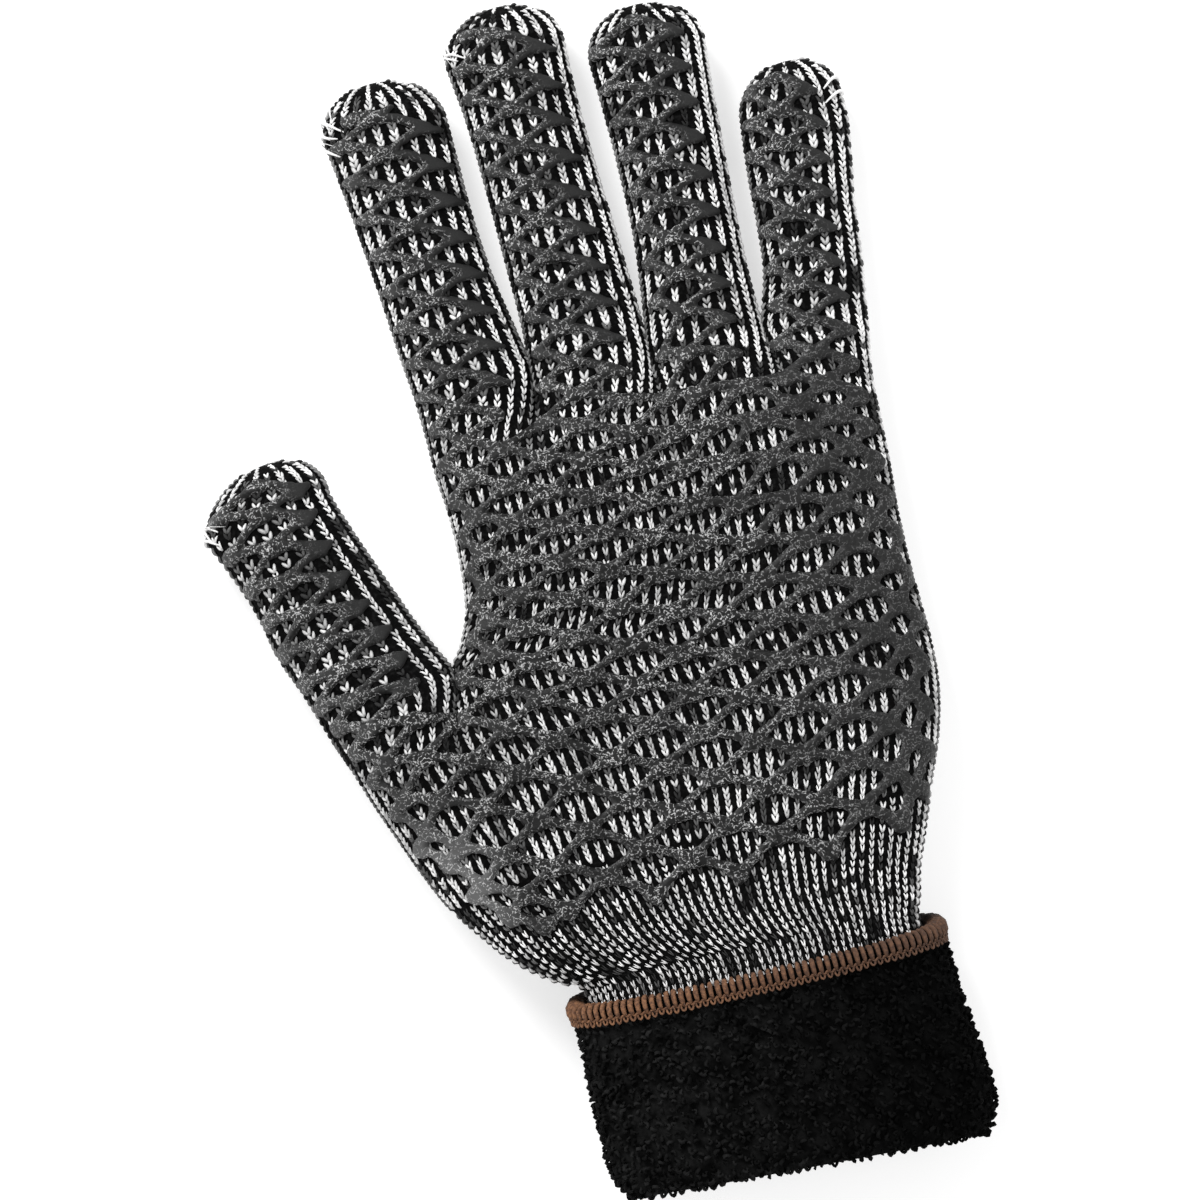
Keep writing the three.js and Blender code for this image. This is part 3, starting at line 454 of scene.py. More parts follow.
class Value:
    """A number or vector in a tree, with arithmetic."""

    def __init__(self, maker, socket):
        self.maker, self.socket = maker, socket

    def math(self, operation, a, b=0.0):
        return self.maker.value("ShaderNodeMath", {0: a, 1: b}, operation=operation)

    def __add__(self, other):
        return self.math("ADD", self, other)

    __radd__ = __add__

    def __sub__(self, other):
        return self.math("SUBTRACT", self, other)

    def __rsub__(self, other):
        return self.math("SUBTRACT", other, self)

    def __mul__(self, other):
        return self.math("MULTIPLY", self, other)

    def step(self, start, end, low=0.0, high=1.0):
        """Smoothly from low to high while this goes from start to end."""
        return self.maker.value("ShaderNodeMapRange", {
            "Value": self, "From Min": start, "From Max": end, "To Min": low, "To Max": high,
        }, interpolation_type="SMOOTHSTEP")


class Surface(Maker):
    """A material's tree."""

    def __init__(self, name, roughness, **constants):
        self.material = bpy.data.materials.new(name)
        self.material.use_nodes = True
        super().__init__(self.material.node_tree)
        self.shader = self.tree.nodes["Principled BSDF"]
        self.shader.inputs["Roughness"].default_value = roughness
        for key, value in constants.items():
            self.shader.inputs[key.replace("_", " ")].default_value = value
        self.place = self.node("ShaderNodeTexCoord").outputs["Object"]

    def attribute(self, name):
        return self.value("ShaderNodeAttribute", output="Fac", attribute_name=name)

    def noise(self, scale, detail=3.0, roughness=0.6):
        return self.value("ShaderNodeTexNoise", {
            "Vector": self.place, "Scale": scale, "Detail": detail, "Roughness": roughness})

    def mix(self, factor, low, high):
        return self.value("ShaderNodeMix", {0: factor, 6: low, 7: high}, output=2, data_type="RGBA")

    def set(self, socket, value):
        self.tree.links.new(value.socket, self.shader.inputs[socket])

    def bump(self, value, distance):
        self.set("Normal", self.value("ShaderNodeBump", {
            "Height": value, "Distance": distance * MM, "Strength": 1.0}))

    def axis(self, number):
        """The place's x, y or z in metres."""
        return self.value("ShaderNodeSeparateXYZ", {0: self.place}, output=number)


def grey(level, warm=0.0):
    return (level * (1 + warm), level, level * (1 - warm), 1)


def knit_ground():
    s = Surface("marled knit ground", 1.0, Specular_IOR_Level=0.1)
    fibre = s.noise(900, 3)
    s.set("Base Color", s.mix(fibre.step(0.45, 0.75), grey(0.001), grey(0.008)))
    s.bump(fibre, 0.3)
    return s.material


def white_yarn():
    s = Surface("marled yarn", 0.92)
    # the yarn number holds the marl and also painted shade, at the digits' sides and below the struts
    yarn, fuzz = s.attribute("yarn"), s.noise(1500, 2)
    shade = yarn * (0.72 + fuzz * 0.45)
    s.set("Base Color", s.mix(shade.step(0, 1), grey(0.004), grey(0.93, 0.003)))
    s.bump(fuzz, 0.12)
    return s.material


def grip_rubber():
    s = Surface("grip rubber", 0.6, Specular_IOR_Level=0.24)
    knit, fine, broad = s.noise(780, 2, 0.55), s.noise(2300, 2), s.noise(120, 3)
    bare = s.attribute("imprint")
    patch = broad.step(0.35, 0.6)
    # thin crooked lines of pale specks in the rubber
    crest = knit.math("ABSOLUTE", knit - 0.52)
    speck = crest.step(0.05, 0.015) * fine.step(0.42, 0.6)
    pit = knit.step(0.47, 0.38) * bare * 0.85
    tone = s.mix(broad.step(0.25, 0.75) * 0.5 + (1 - bare) * 0.6, grey(0.006), grey(0.019))
    tone = s.mix(pit, tone, grey(0.002))
    # painted sheen: paler grey where the rubber catches the light
    tone = s.mix(s.attribute("painted_sheen"), tone, grey(0.12))
    s.set("Base Color", s.mix(speck * (0.35 + patch * 0.65) * bare, tone, grey(0.6)))
    s.set("Roughness", fine.step(0.3, 0.7, 0.48, 0.75))
    s.bump(knit * bare * 0.8 + broad * 0.5 + fine * 0.2, 0.3)
    return s.material


def black_terry():
    s = Surface("black terry", 1.0, Specular_IOR_Level=0.05)
    tint, fuzz, lump = s.attribute("tint"), s.noise(1100, 2), s.noise(260, 2)
    # painted light and shade: the terry is painted lighter on the left and darker toward the right
    painted_left_light = s.axis(0).step(-0.03, 0.035, 1.0, 0.25)
    pale = (0.05 + tint * 0.5 + lump.step(0.35, 0.65) * 0.35) * (0.4 + fuzz * 1.2) * painted_left_light
    s.set("Base Color", s.mix(pale, grey(0.0006), grey(0.022)))
    s.bump(fuzz, 0.25)
    return s.material


def brown_thread():
    s = Surface("brown overlock thread", 0.85)
    # painted light and shade: the thread is painted lighter on the left and darker toward the right
    across, fibre = s.axis(0).step(-0.045, 0.045), s.noise(1300, 2)
    ply = s.mix(across, (0.26, 0.12, 0.055, 1), (0.11, 0.052, 0.027, 1))
    dark = s.mix(across, (0.085, 0.036, 0.018, 1), (0.05, 0.023, 0.013, 1))
    tone = s.mix(fibre.step(0.3, 0.7), dark, ply)
    # painted shade: lower than 11 to 19 mm up, on the floor side of the edge, the thread is painted near
    # black
    s.set("Base Color", s.mix(s.axis(2).step(0.011, 0.019), (0.014, 0.008, 0.006, 1), tone))
    s.bump(fibre, 0.2)
    return s.material


def pale_floor():
    return Surface("pale floor", 0.9, Base_Color=grey(0.6), Emission_Color=grey(1.0),
                   Emission_Strength=0.6).material


def tube(path, radius, sides):
    """Points and faces of a yarn along a path; the radius may be one number per point."""
    path = np.array(path, float)
    radius = np.broadcast_to(np.asarray(radius, float), (len(path),))
    along = unit(np.gradient(path, axis=0))
    normal = unit(np.cross(along, [0.13, 0.31, 0.94]))
    other = np.cross(along, normal)
    turn = 2 * math.pi * np.arange(sides) / sides
    ring = (np.cos(turn)[None, :, None] * normal[:, None] + np.sin(turn)[None, :, None] * other[:, None])
    points = (path[:, None] + ring * radius[:, None, None]).reshape(-1, 3).tolist()
    faces = []
    for j in range(len(path) - 1):
        for i in range(sides):
            k = (i + 1) % sides
            faces.append([j * sides + i, j * sides + k, (j + 1) * sides + k, (j + 1) * sides + i])
    faces.append(list(range(sides))[::-1])
    faces.append([(len(path) - 1) * sides + i for i in range(sides)])
    return points, faces


def template(name, *parts):
    """A small object made of a few tubes, kept out of the picture, for the repeats."""
    points, faces = [], []
    for some_points, some_faces in parts:
        faces += [[len(points) + k for k in face] for face in some_faces]
        points += some_points
    mesh = mesh_of(name, points, faces)
    mesh.shade_smooth()
    return bpy.data.objects.new(name, mesh)


def socket_of(group, name):
    return next(item.identifier for item in group.interface.items_tree
                if item.item_type == "SOCKET" and item.name == name and item.in_out == "INPUT")


DENSEST = 1.2e6                 # most copies to a square metre
LOOP_LEAN, LOOP_SIZE = 0.5, (0.72, 1.2)
LEAN_SEED, SIZE_SEED, TINT_SEED = 71, 12, 5


def repeat_group(scatter):
    """Geometry nodes that repeat a template on points, or on a scatter over a surface."""
    group = bpy.data.node_groups.new("repeat on surface" if scatter else "repeat on points",
                                     "GeometryNodeTree")
    for name, kind in (("Geometry", "Geometry"), ("Template", "Object"), ("Material", "Material"),
                       ("Spacing", "Float"), ("Seed", "Int")):
        group.interface.new_socket(name, in_out="INPUT", socket_type="NodeSocket" + kind)
    group.interface.new_socket("Geometry", in_out="OUTPUT", socket_type="NodeSocketGeometry")
    m = Maker(group)

    def between(low, high, seed):
        """A random number for each point."""
        return m.node("FunctionNodeRandomValue", {2: low, 3: high, "Seed": seed},
                      data_type="FLOAT").outputs[1]
    given = m.node("NodeGroupInput")
    shape = m.node("GeometryNodeObjectInfo", {"Object": given.outputs["Template"]})
    seed = given.outputs["Seed"]
    if scatter:
        spread = m.node("GeometryNodeDistributePointsOnFaces", {
            "Mesh": given.outputs["Geometry"], "Distance Min": given.outputs["Spacing"],
            "Density Max": DENSEST, "Seed": seed}, distribute_method="POISSON")
        euler = m.node("ShaderNodeCombineXYZ", {
            0: between(-LOOP_LEAN, LOOP_LEAN, LEAN_SEED), 2: between(0.0, 2 * math.pi, seed)})
        spin = m.node("FunctionNodeEulerToRotation", {0: euler.outputs[0]})
        turn = m.node("FunctionNodeRotateRotation", {
            0: spread.outputs["Rotation"], 1: spin.outputs[0]}, rotation_space="LOCAL").outputs[0]
        size = between(*LOOP_SIZE, SIZE_SEED)
        points = m.node("GeometryNodeStoreNamedAttribute", {
            "Geometry": spread.outputs["Points"], "Name": "tint",
            "Value": between(0.0, 1.0, TINT_SEED)}, data_type="FLOAT", domain="POINT").outputs[0]
    else:
        points = m.node("GeometryNodeMeshToPoints", {"Mesh": given.outputs["Geometry"]}).outputs[0]
        euler = m.node("GeometryNodeInputNamedAttribute", {"Name": "turn"}, data_type="FLOAT_VECTOR")
        turn = m.node("FunctionNodeEulerToRotation", {0: euler.outputs[0]}).outputs[0]
        size = m.node("GeometryNodeInputNamedAttribute", {"Name": "size"},
                      data_type="FLOAT_VECTOR").outputs[0]
    placed = m.node("GeometryNodeInstanceOnPoints", {
        "Points": points, "Instance": shape.outputs["Geometry"], "Rotation": turn, "Scale": size})
    real = m.node("GeometryNodeRealizeInstances", {"Geometry": placed.outputs[0]})
    done = m.node("GeometryNodeSetMaterial", {
        "Geometry": real.outputs[0], "Material": given.outputs["Material"]})
    m.node("NodeGroupOutput", {"Geometry": done.outputs[0]})
    return group


ON_POINTS, ON_SURFACE = repeat_group(False), repeat_group(True)


def repeated(name, base, group, shape, material, spacing=1.0, seed=1):
    """Runs the repeat on a base object and keeps its result as one plain mesh."""
    modifier = base.modifiers.new("repeat", "NODES")
    modifier.node_group = group
    for key, value in (("Template", shape), ("Material", material),
                       ("Spacing", spacing * MM), ("Seed", seed)):
        modifier[socket_of(group, key)] = value
    bpy.context.view_layer.update()
    depsgraph = bpy.context.evaluated_depsgraph_get()
    mesh = bpy.data.meshes.new_from_object(base.evaluated_get(depsgraph), depsgraph=depsgraph)
    mesh.name = name
    base.modifiers.remove(modifier)
    if not mesh.materials:
        mesh.materials.append(material)
    cells_on_map(mesh, len(shape.data.polygons))
    mesh.shade_smooth()
    return in_scene(name, mesh)


def cells_on_map(mesh, faces_each):
    """Gives every face of every copy a cell of its own on the UV map."""
    total = len(mesh.polygons)
    starts, sizes = np.empty((2, total), np.int32)
    mesh.polygons.foreach_get("loop_start", starts)
    mesh.polygons.foreach_get("loop_total", sizes)
    inner = math.ceil(math.sqrt(faces_each))
    outer = math.ceil(math.sqrt(total / faces_each))
    number = np.arange(total)
    copy, face = number // faces_each, number % faces_each
    x = (copy % outer) + (face % inner) / inner
    y = (copy // outer) + (face // inner) / inner
    corner = np.array([[0.1, 0.1], [0.9, 0.1], [0.9, 0.9], [0.1, 0.9]]) / inner
    uv = np.zeros((len(mesh.loops), 2), np.float32)
    for k in range(int(sizes.max())):
        pick = sizes > k
        spot = corner[k % 4] if k < 4 else corner[0] * (1 + 0.1 * k)
        uv[starts[pick] + k, 0] = (x[pick] + spot[0]) / outer
        uv[starts[pick] + k, 1] = (y[pick] + spot[1]) / outer
    layer = mesh.uv_layers.new(name="OFBake")
    layer.data.foreach_set("uv", uv.ravel())
    mesh.uv_layers.active = layer


def point_cloud(name, points, across, along, out, sizes, **values):
    """An object of loose points, each with the turn and size of the copy that goes there."""
    mesh = mesh_of(name, points)
    turns = np.array([Matrix((x, y, z)).transposed().to_euler("XYZ")[:]
                      for x, y, z in zip(across, along, out)], np.float32)
    for key, data in (("turn", turns), ("size", np.asarray(sizes, np.float32))):
        mesh.attributes.new(key, "FLOAT_VECTOR", "POINT").data.foreach_set("vector", data.ravel())
    for key, data in values.items():
        give(mesh, key, data)
    return in_scene(name, mesh)


def drop(*objects):
    for obj in objects:
        bpy.data.objects.remove(obj)


def press_flat(obj):
    """Nothing goes under the floor that the glove rests on."""
    at = per_vertex(obj.data, "co")
    at[:, 2] = np.maximum(at[:, 2], FLOOR_GAP * MM)
    obj.data.vertices.foreach_set("co", at.ravel())
    obj.data.update()


def adopt(obj, slot, *nodes):
    if nodes:
        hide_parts(*nodes)
    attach(obj, "root")
    return obj


def cloth(name, material, inset, start, sides, flip):
    """The knit's dark ground, or the terry lining set in by the wall."""
    gathered = Pieces()
    names = list(DIGITS)
    for index, digit_name in enumerate(names):
        digit = DIGITS[digit_name]
        courses = tip_courses(digit_name, start, 1.6)
        fractions = np.linspace(0, 1, sides + 1)
        v, f = np.meshgrid(courses, fractions, indexing="ij")
        for upper in (True, False):
            points = skin(digit_name, f.ravel(), v.ravel(), upper, inset).reshape(v.shape + (3,))
            u = wale_of(digit, f) + (12 if upper else 69)
            places = np.stack([u / 114, (v + 113) / 265], -1)
            gathered.grid(points, places, flip=upper == flip)
    if inset:
        # the lining's neighbours stand apart near a crotch; close the slit between them
        for one, two in zip(names, names[1:]):
            end = THUMB_CROTCH if one == "thumb" else FINGER_CROTCH
            v = np.linspace(start, end, 60)
            for upper in (True, False):
                edge = [skin(one, np.ones(60), v, upper, inset), skin(two, np.zeros(60), v, upper, inset)]
                places = np.stack([np.tile([0.001, 0.003], (60, 1)), np.tile(v[:, None] * 0 + 0.5, 2)], -1)
                gathered.grid(np.stack(edge, 1), places, flip=upper == flip)
    return gathered.object(name, material, weld=0.004)


ground_material, yarn_material = knit_ground(), white_yarn()
rubber_material, terry_material = grip_rubber(), black_terry()
thread_material = brown_thread()

ground = cloth("knit_ground", ground_material, 0.0, -100.0, 16, False)
press_flat(ground)
adopt(ground, "marled_knit", "palm_shell", *DIGITS)

lining = cloth("terry_lining", terry_material, WALL, -111.2, 12, True)
adopt(lining, "black_terry")


# the grip net: a fine grid over the upper side, cut where the lattice is
def upper_skin():
    gathered = Pieces()
    for name in DIGITS:
        courses = tip_courses(name, -70, 1.0)
        v, f = np.meshgrid(courses, np.linspace(0, 1, 33), indexing="ij")
        points = skin(name, f.ravel(), v.ravel(), True).reshape(v.shape + (3,))
        gathered.grid(points, np.zeros(v.shape + (2,)))
    return BVHTree.FromPolygons([Vector(p) for p in gathered.points], gathered.faces)


def onto(tree, x, y):
    hit = tree.ray_cast(Vector((x, y, 60)), Vector((0, 0, -1)))[0]
    return hit if hit is not None else tree.find_nearest(Vector((x, y, 9)))[0]


def net_lines(tree):
    """Points along every strut, with half its width there and the way to the next node."""
    nodes = {}
    for column, path in NET_COLUMNS.items():
        rows = [k / 2 for k in range(-2, 50) if k % 2 != column % 2]
        rows = [row for row in rows if path[0][0] - 0.05 <= row <= path[-1][0] + 0.05]
        for row, at in zip(rows, read(path, rows)):
            nodes[column, row] = at[1:]
    spots, widths = [], []

    def strut(a, b, half, bowed, far_node=True):
        length = math.dist(a, b)
        for t in np.linspace(0, 1, max(8, round(length / 0.22))):
            bow = 4 * t * (1 - t) * bowed
            spots.append(onto(tree, a[0] + (b[0] - a[0]) * t, a[1] + (b[1] - a[1]) * t + bow))
            near = (min(t, 1 - t) if far_node else t) * length
            on_palm = ease(66, 46, spots[-1][1])
            fillet = (0.55 + 0.45 * on_palm) * math.exp(-(near / (2.0 + 0.3 * on_palm)) ** 2)
            broad = half * (1 + 0.15 * ease(0, 30, spots[-1][0]) * on_palm)
            widths.append(broad + fillet - (0 if far_node else 0.5 * t))

    for (column, row), a in nodes.items():
        for rise in (0.5, -0.5):
            b = nodes.get((column + 1, row + rise))
            if b is not None and not any(column == left and max(a[1], b[1]) > above
                                         for left, _, above in NET_PARTINGS):
                strut(a, b, *((1.2, 0.9) if rise < 0 else (1.05, 0.5)))
        for spur_column, above, x, y in NET_SPURS:
            if column == spur_column and a[1] > above:
                strut(a, a + (x, y), 1.3, 0.0, False)
    lines = KDTree(len(spots))
    for i, spot in enumerate(spots):
        lines.insert(spot, i)
    lines.balance()
    return lines, np.array(widths)


net_tree = upper_skin()
net_kd, net_width = net_lines(net_tree)


def inside_net(points):
    """How far inside the net's rim each point is; less than nothing outside it."""
    found = [net_kd.find(point)[1:] for point in points]
    return np.array([net_width[nearest] - distance for nearest, distance in found])


def grip_net():
    gathered = Pieces()
    for name, digit in DIGITS.items():
        across = round((digit["end"] - digit["start"]) * 2.4 / NET_FINE)
        end, reach = digit["rows"][-1][0], tip_reach(name)
        over_tip = end + reach * np.sin(np.arange(0, 1.25, NET_FINE / reach))
        courses = np.concatenate([np.arange(-54.5, end - 0.2, NET_FINE), over_tip])
        v, f = np.meshgrid(courses, np.linspace(0, 1, across + 1), indexing="ij")
        point, normal, _ = skin_frame(name, f.ravel(), v.ravel(), True)
        depth = inside_net(point) + 0.3 * np.array([noise.noise(Vector(spot) * 0.8) for spot in point])
        # the rubber is pressed thin where it turns down at the sides
        lift = -NET_SUNK + (0.75 + 0.7 * ease(0.15, 0.8, normal[:, 2])) * ease(-0.2, 0.7, depth)
        high = point + normal * lift[:, None]
        place = np.column_stack([(wale_of(digit, f).ravel() + 12) / 56, (v.ravel() + 56) / 200])
        wide = across + 1
        made = {}

        def vertex(key, where, spot):
            if key not in made:
                made[key] = (len(gathered.points), spot)
                gathered.points.append(where)
            return made[key]

        rows = v.shape[0]
        for j in range(rows - 1):
            for i in range(across):
                corners = [j * wide + i, j * wide + i + 1, (j + 1) * wide + i + 1, (j + 1) * wide + i]
                if depth[corners].max() <= 0:
                    continue
                ring = []
                for k in range(4):
                    a, b = corners[k], corners[(k + 1) % 4]
                    if depth[a] > 0:
                        ring.append(vertex(a, high[a], place[a]))
                    if (depth[a] > 0) != (depth[b] > 0):
                        low, top = min(a, b), max(a, b)
                        t = depth[low] / (depth[low] - depth[top])
                        spot = point[low] + (point[top] - point[low]) * t
                        spot = spot - normal[low] * NET_SUNK
                        ring.append(vertex((low, top), spot,
                                           place[low] + (place[top] - place[low]) * t))
                if len(ring) >= 3:
                    gathered.faces.append([number for number, _ in ring])
                    gathered.places += [spot for _, spot in ring]
    obj = gathered.object("grip_net_fine", rubber_material, weld=0.1)
    at = per_vertex(obj.data, "co") / MM
    facing = per_vertex(obj.data, "normal")[:, 0]
    # the rubber is speckled most on the sides of the digits that face left and on the left and middle of
    # the palm
    on_finger = ease(50, 75, at[:, 1]) + ease(-52, -62, at[:, 0]) * ease(0, 12, at[:, 1])
    mark = 0.9 - ease(8, 40, at[:, 0]) * 0.65
    mark += (ease(0.35, -0.25, facing) - mark) * np.minimum(1, on_finger)
    # painted sheen: the rubber is painted pale grey along the heel of the thumb and on its sides that face
    # left, where it catches the light
    painted_sheen = ease(-46, -60, at[:, 0]) * ease(-18, -42, at[:, 1]) + 0.35 * ease(0, -0.7, facing)
    give(obj.data, "imprint", mark)
    give(obj.data, "painted_sheen", np.clip(painted_sheen, 0, 1))
    return obj


net = grip_net()
adopt(net, "grip_rubber", "grip_net")


# the knitted stitches
def stitch_leg(side, rings, sides):
    """One leg of a knitted V: a fat middle, thin ends, sunk at both."""
    t = np.linspace(0, 1, rings)
    x = side * (0.05 + 0.55 * t**0.85)
    y = -0.95 + 1.75 * t
    z = -0.10 + 0.42 * np.sin(math.pi * np.clip(0.1 + 0.95 * t, 0, 1))
    radius = 0.12 + 0.18 * np.sin(math.pi * (0.12 + 0.8 * t))
    return tube(np.column_stack([x, y, z]), radius, sides)


def stitches(name, digits, upper, shape, rng):
    gathered = []
    for digit_name in digits:
        digit = DIGITS[digit_name]
        courses = np.concatenate([np.arange(-75.0, -41.0, WRIST_COURSE),
                                  tip_courses(digit_name, -40.0, COURSE)])
        end, reach = digit["rows"][-1][0], tip_reach(digit_name)
        for wale in range(digit["wales"]):
            fraction = (wale + 0.5) / digit["wales"]
            v = courses + COURSE * 0.5 * (wale % 2) * 0.6
            # every other column ends early where the tip draws in, and all end before its point
            slim = np.sqrt(np.clip(1 - np.clip((v - end) / reach, 0, 1) ** 2, 0, 1))
            room = (slim > 0.3) & ((slim > 0.62) | (wale % 2 == 0))
            v, slim = v[room], slim[room]
            f = np.full(len(v), fraction) + rng.normal(0, 0.004, len(v))
            point, normal, along = skin_frame(digit_name, f, v, upper)
            # width of one wale here, and so of its stitches
            side = skin_frame(digit_name, f + 0.5 / digit["wales"], v, upper)[0] - point
            slant = np.sum(side * along, axis=1)
            width = 2 * np.sqrt(np.maximum(0.1, np.sum(side * side, axis=1) - slant * slant))
            wrist = ease(-36, -50, v)
            wide = np.clip(width / WALE, 0.42, 1.7) * rng.normal(1, 0.11, len(v)) * rng.uniform(0.84, 1.12)
            tall = np.clip(rng.normal(1, 0.1, len(v)), 0.75, 1.25) * (0.75 + 0.25 * slim)
            palm = ease(-40, -20, v) * ease(60, 40, v)
            wide *= 1 - 0.04 * wrist - 0.07 * palm
            tall *= 1 - 0.08 * wrist
            # marl: a share of the stitches are dark, a larger share at the wrist, toward the edges and near
            # the tips
            outer = digit_name == "little_finger" and fraction > 0.5
            edge = ease(0.34, 0.5, abs(fraction - 0.5)) * (1 if outer else ease(66, 80, v))
            dark = 0.08 + 0.02 * wrist + 0.26 * edge + 0.06 * ease(end - 4, end + 2, v)
            # painted shade: stitches are painted darker where the knit turns down at the sides of the
            # digits
            painted_side_shade = ease(0.14, 0.03, fraction) * (1 if digit_name == "thumb" else ease(30, 60, v))
            painted_side_shade += ease(0.86, 0.97, fraction) * {
                "thumb": 1, "index_finger": ease(30, 60, v), "little_finger": ease(45, 20, v),
            }.get(digit_name, 0)
            dim = rng.random(len(v)) < dark
            patch = rng.random(len(v) // 3 + 2).repeat(3)[: len(v)] < 0.04 + dark * 0.35
            yarn = np.where(dim | patch, rng.uniform(0.0, 0.25, len(v)),
                            rng.uniform(0.55 - 0.05 * wrist, 1.0)) * (1 - 0.65 * painted_side_shade) * (1 - 0.15 * palm)
            keep = np.ones(len(v), bool)
            if upper:
                keep = inside_net(point) < HIDDEN
                # stitches just below a strut lie in its shade
                yarn *= 1 - 0.7 * ease(-0.3, 0.45, inside_net(point + (0, 0.85, 0)))
            size = np.column_stack([wide, tall, np.ones(len(v))])
            gathered.append([rows[keep] for rows in (point, normal, along, size, yarn)])
    point, normal, along, size, yarn = map(np.concatenate, zip(*gathered))
    across = unit(np.cross(along, normal))
    along = np.cross(normal, across)
    cloud = point_cloud(name + " points", point, across, along, normal, size, yarn=yarn)
    obj = repeated(name, cloud, ON_POINTS, shape, yarn_material)
    drop(cloud)
    press_flat(obj)
    return adopt(obj, "marled_knit")


fine_stitch = template("stitch", stitch_leg(-1, 4, 4), stitch_leg(1, 4, 4))
plain_stitch = template("plain stitch", stitch_leg(-1, 3, 4), stitch_leg(1, 3, 4))
rng = np.random.default_rng(7)
LEFT, RIGHT = ("thumb", "index_finger"), ("middle_finger", "ring_finger", "little_finger")
stitches("stitches_face_left", LEFT, True, fine_stitch, rng)
stitches("stitches_face_right", RIGHT, True, fine_stitch, rng)
stitches("stitches_back_left", LEFT, False, plain_stitch, rng)
stitches("stitches_back_right", RIGHT, False, plain_stitch, rng)


# the terry cuff
def ring_frame(turn, inset, y):
    """Points on a ring round the wrist, and the way out of it at each."""
    turn, inset, y = np.broadcast_arrays(np.asarray(turn, float), inset, y)

    def spot(angle):
        row = read(CUFF, y.ravel())
        cos, sin = np.cos(angle).ravel(), np.sin(angle).ravel()
        x = np.sign(cos) * np.abs(cos) ** (2 / CUFF_SQUARE)
        z = np.sign(sin) * np.abs(sin) ** (2 / CUFF_SQUARE)
        half = (row[:, 3] - row[:, 4]) / 2
        i = inset.ravel()
        rise = np.where(z < 0, (half - np.maximum(0, i)) * np.maximum(-1, 1.06 * z), (half - i) * z)
        lean = ease(-104, -76, y.ravel()) * np.where(z > 0, EDGE_CREST, -EDGE_FLOOR) * z
        return np.column_stack([(row[:, 1] + row[:, 2]) / 2 + ((row[:, 2] - row[:, 1]) / 2 - i) * x,
                                y.ravel() + lean, (row[:, 3] + row[:, 4]) / 2 + rise])
    angle = 2 * math.pi * turn
    point = spot(angle)
    tangent = spot(angle + 0.01) - spot(angle - 0.01)
    return point, unit(np.cross([0, 1, 0], tangent))


def even_turns(count, y=-90.0):
    """Turns round the wrist at even steps of its girth."""
    fine = np.linspace(0, 1, 2001)
    point = ring_frame(fine, 0.0, y)[0]
    along = np.concatenate(([0], np.cumsum(np.linalg.norm(np.diff(point, axis=0), axis=1))))
    return np.interp(np.linspace(0, along[-1], count + 1)[:-1], along, fine)


def cuff_cloth():
    profile = []
    closed = CUFF_PROFILE + CUFF_PROFILE[:1]
    for (i0, y0), (i1, y1) in zip(closed, closed[1:]):
        steps = max(1, round(math.dist((i0, y0), (i1, y1)) / 2))
        profile += [(i0 + (i1 - i0) * k / steps, y0 + (y1 - y0) * k / steps) for k in range(steps)]
    profile.append(profile[0])
    turns = np.append(even_turns(140), 1.0)
    inset, y = (np.repeat(column[:, None], len(turns), 1) for column in np.array(profile).T)
    turn = np.tile(turns, (len(profile), 1))
    shown = np.where(inset < 3, inset + 0.9, inset)
    point = ring_frame(turn, shown, y)[0].reshape(inset.shape + (3,))
    # the fold at the mouth runs a little aslant
    point[..., 1] += (-0.3 - 0.044 * point[..., 0]) * ease(-80, -112, y)
    place = np.stack([turn, np.linspace(0, 1, len(profile))[:, None] + 0 * turn], -1)
    gathered = Pieces()
    gathered.grid(point, place)
    return gathered.object("terry_cuff_cloth", terry_material, weld=0.004)


cuff = cuff_cloth()
press_flat(cuff)


def terry_loop():
    """A loop of terry yarn that stands up and leans over."""
    turn = np.linspace(-0.2, math.pi + 0.2, 7)
    x = 0.62 * np.cos(turn)
    z = -0.3 + 1.1 * np.sin(turn)
    y = 0.5 * np.sin(turn) ** 2
    return tube(np.column_stack([x, y, z]), 0.46, 3)


def part_of(obj, keep):
    """A copy of the object with only the faces whose centre passes."""
    work = bmesh.new()
    work.from_mesh(obj.data)
    gone = [face for face in work.faces if not keep(face.calc_center_median() / MM, face.normal)]
    bmesh.ops.delete(work, geom=gone, context="FACES")
    mesh = bpy.data.meshes.new("part")
    work.to_mesh(mesh)
    work.free()
    return in_scene("part", mesh)


loop_shape = template("terry loop", terry_loop())
outer = part_of(cuff, lambda at, out: (at.z > 0.8 or out.z > -0.5) and at.y < EDGE_FOOT - EDGE_LEAN * at.z)
cuff_loops = repeated("terry_loops", outer, ON_SURFACE, loop_shape, terry_material, TERRY_SPACING, 3)
drop(outer)
press_flat(cuff_loops)
adopt(cuff, "black_terry", "terry_cuff")
adopt(cuff_loops, "black_terry")
near_mouth = part_of(lining, lambda at, out: at.y < -52)
lining_loops = repeated("lining_loops", near_mouth, ON_SURFACE, loop_shape, terry_material,
                        LINING_SPACING, 4)
drop(near_mouth)
adopt(lining_loops, "black_terry")


# the overlocked edge
def over_edge():
    """One bight of overlock thread over the cut edge, from outside to inside."""
    path = [[0.1, -1.3, 0.15], [0, -0.3, 0.6], [-0.05, 0.9, 0.5], [0, 1.8, -0.3], [0, 2.0, -1.5],
            [0, 1.5, -2.8], [0, 0.2, -3.6], [0, -1.8, -3.6]]
    return tube(path, [0.4, 0.55, 0.6, 0.6, 0.52, 0.48, 0.45, 0.4], 7)


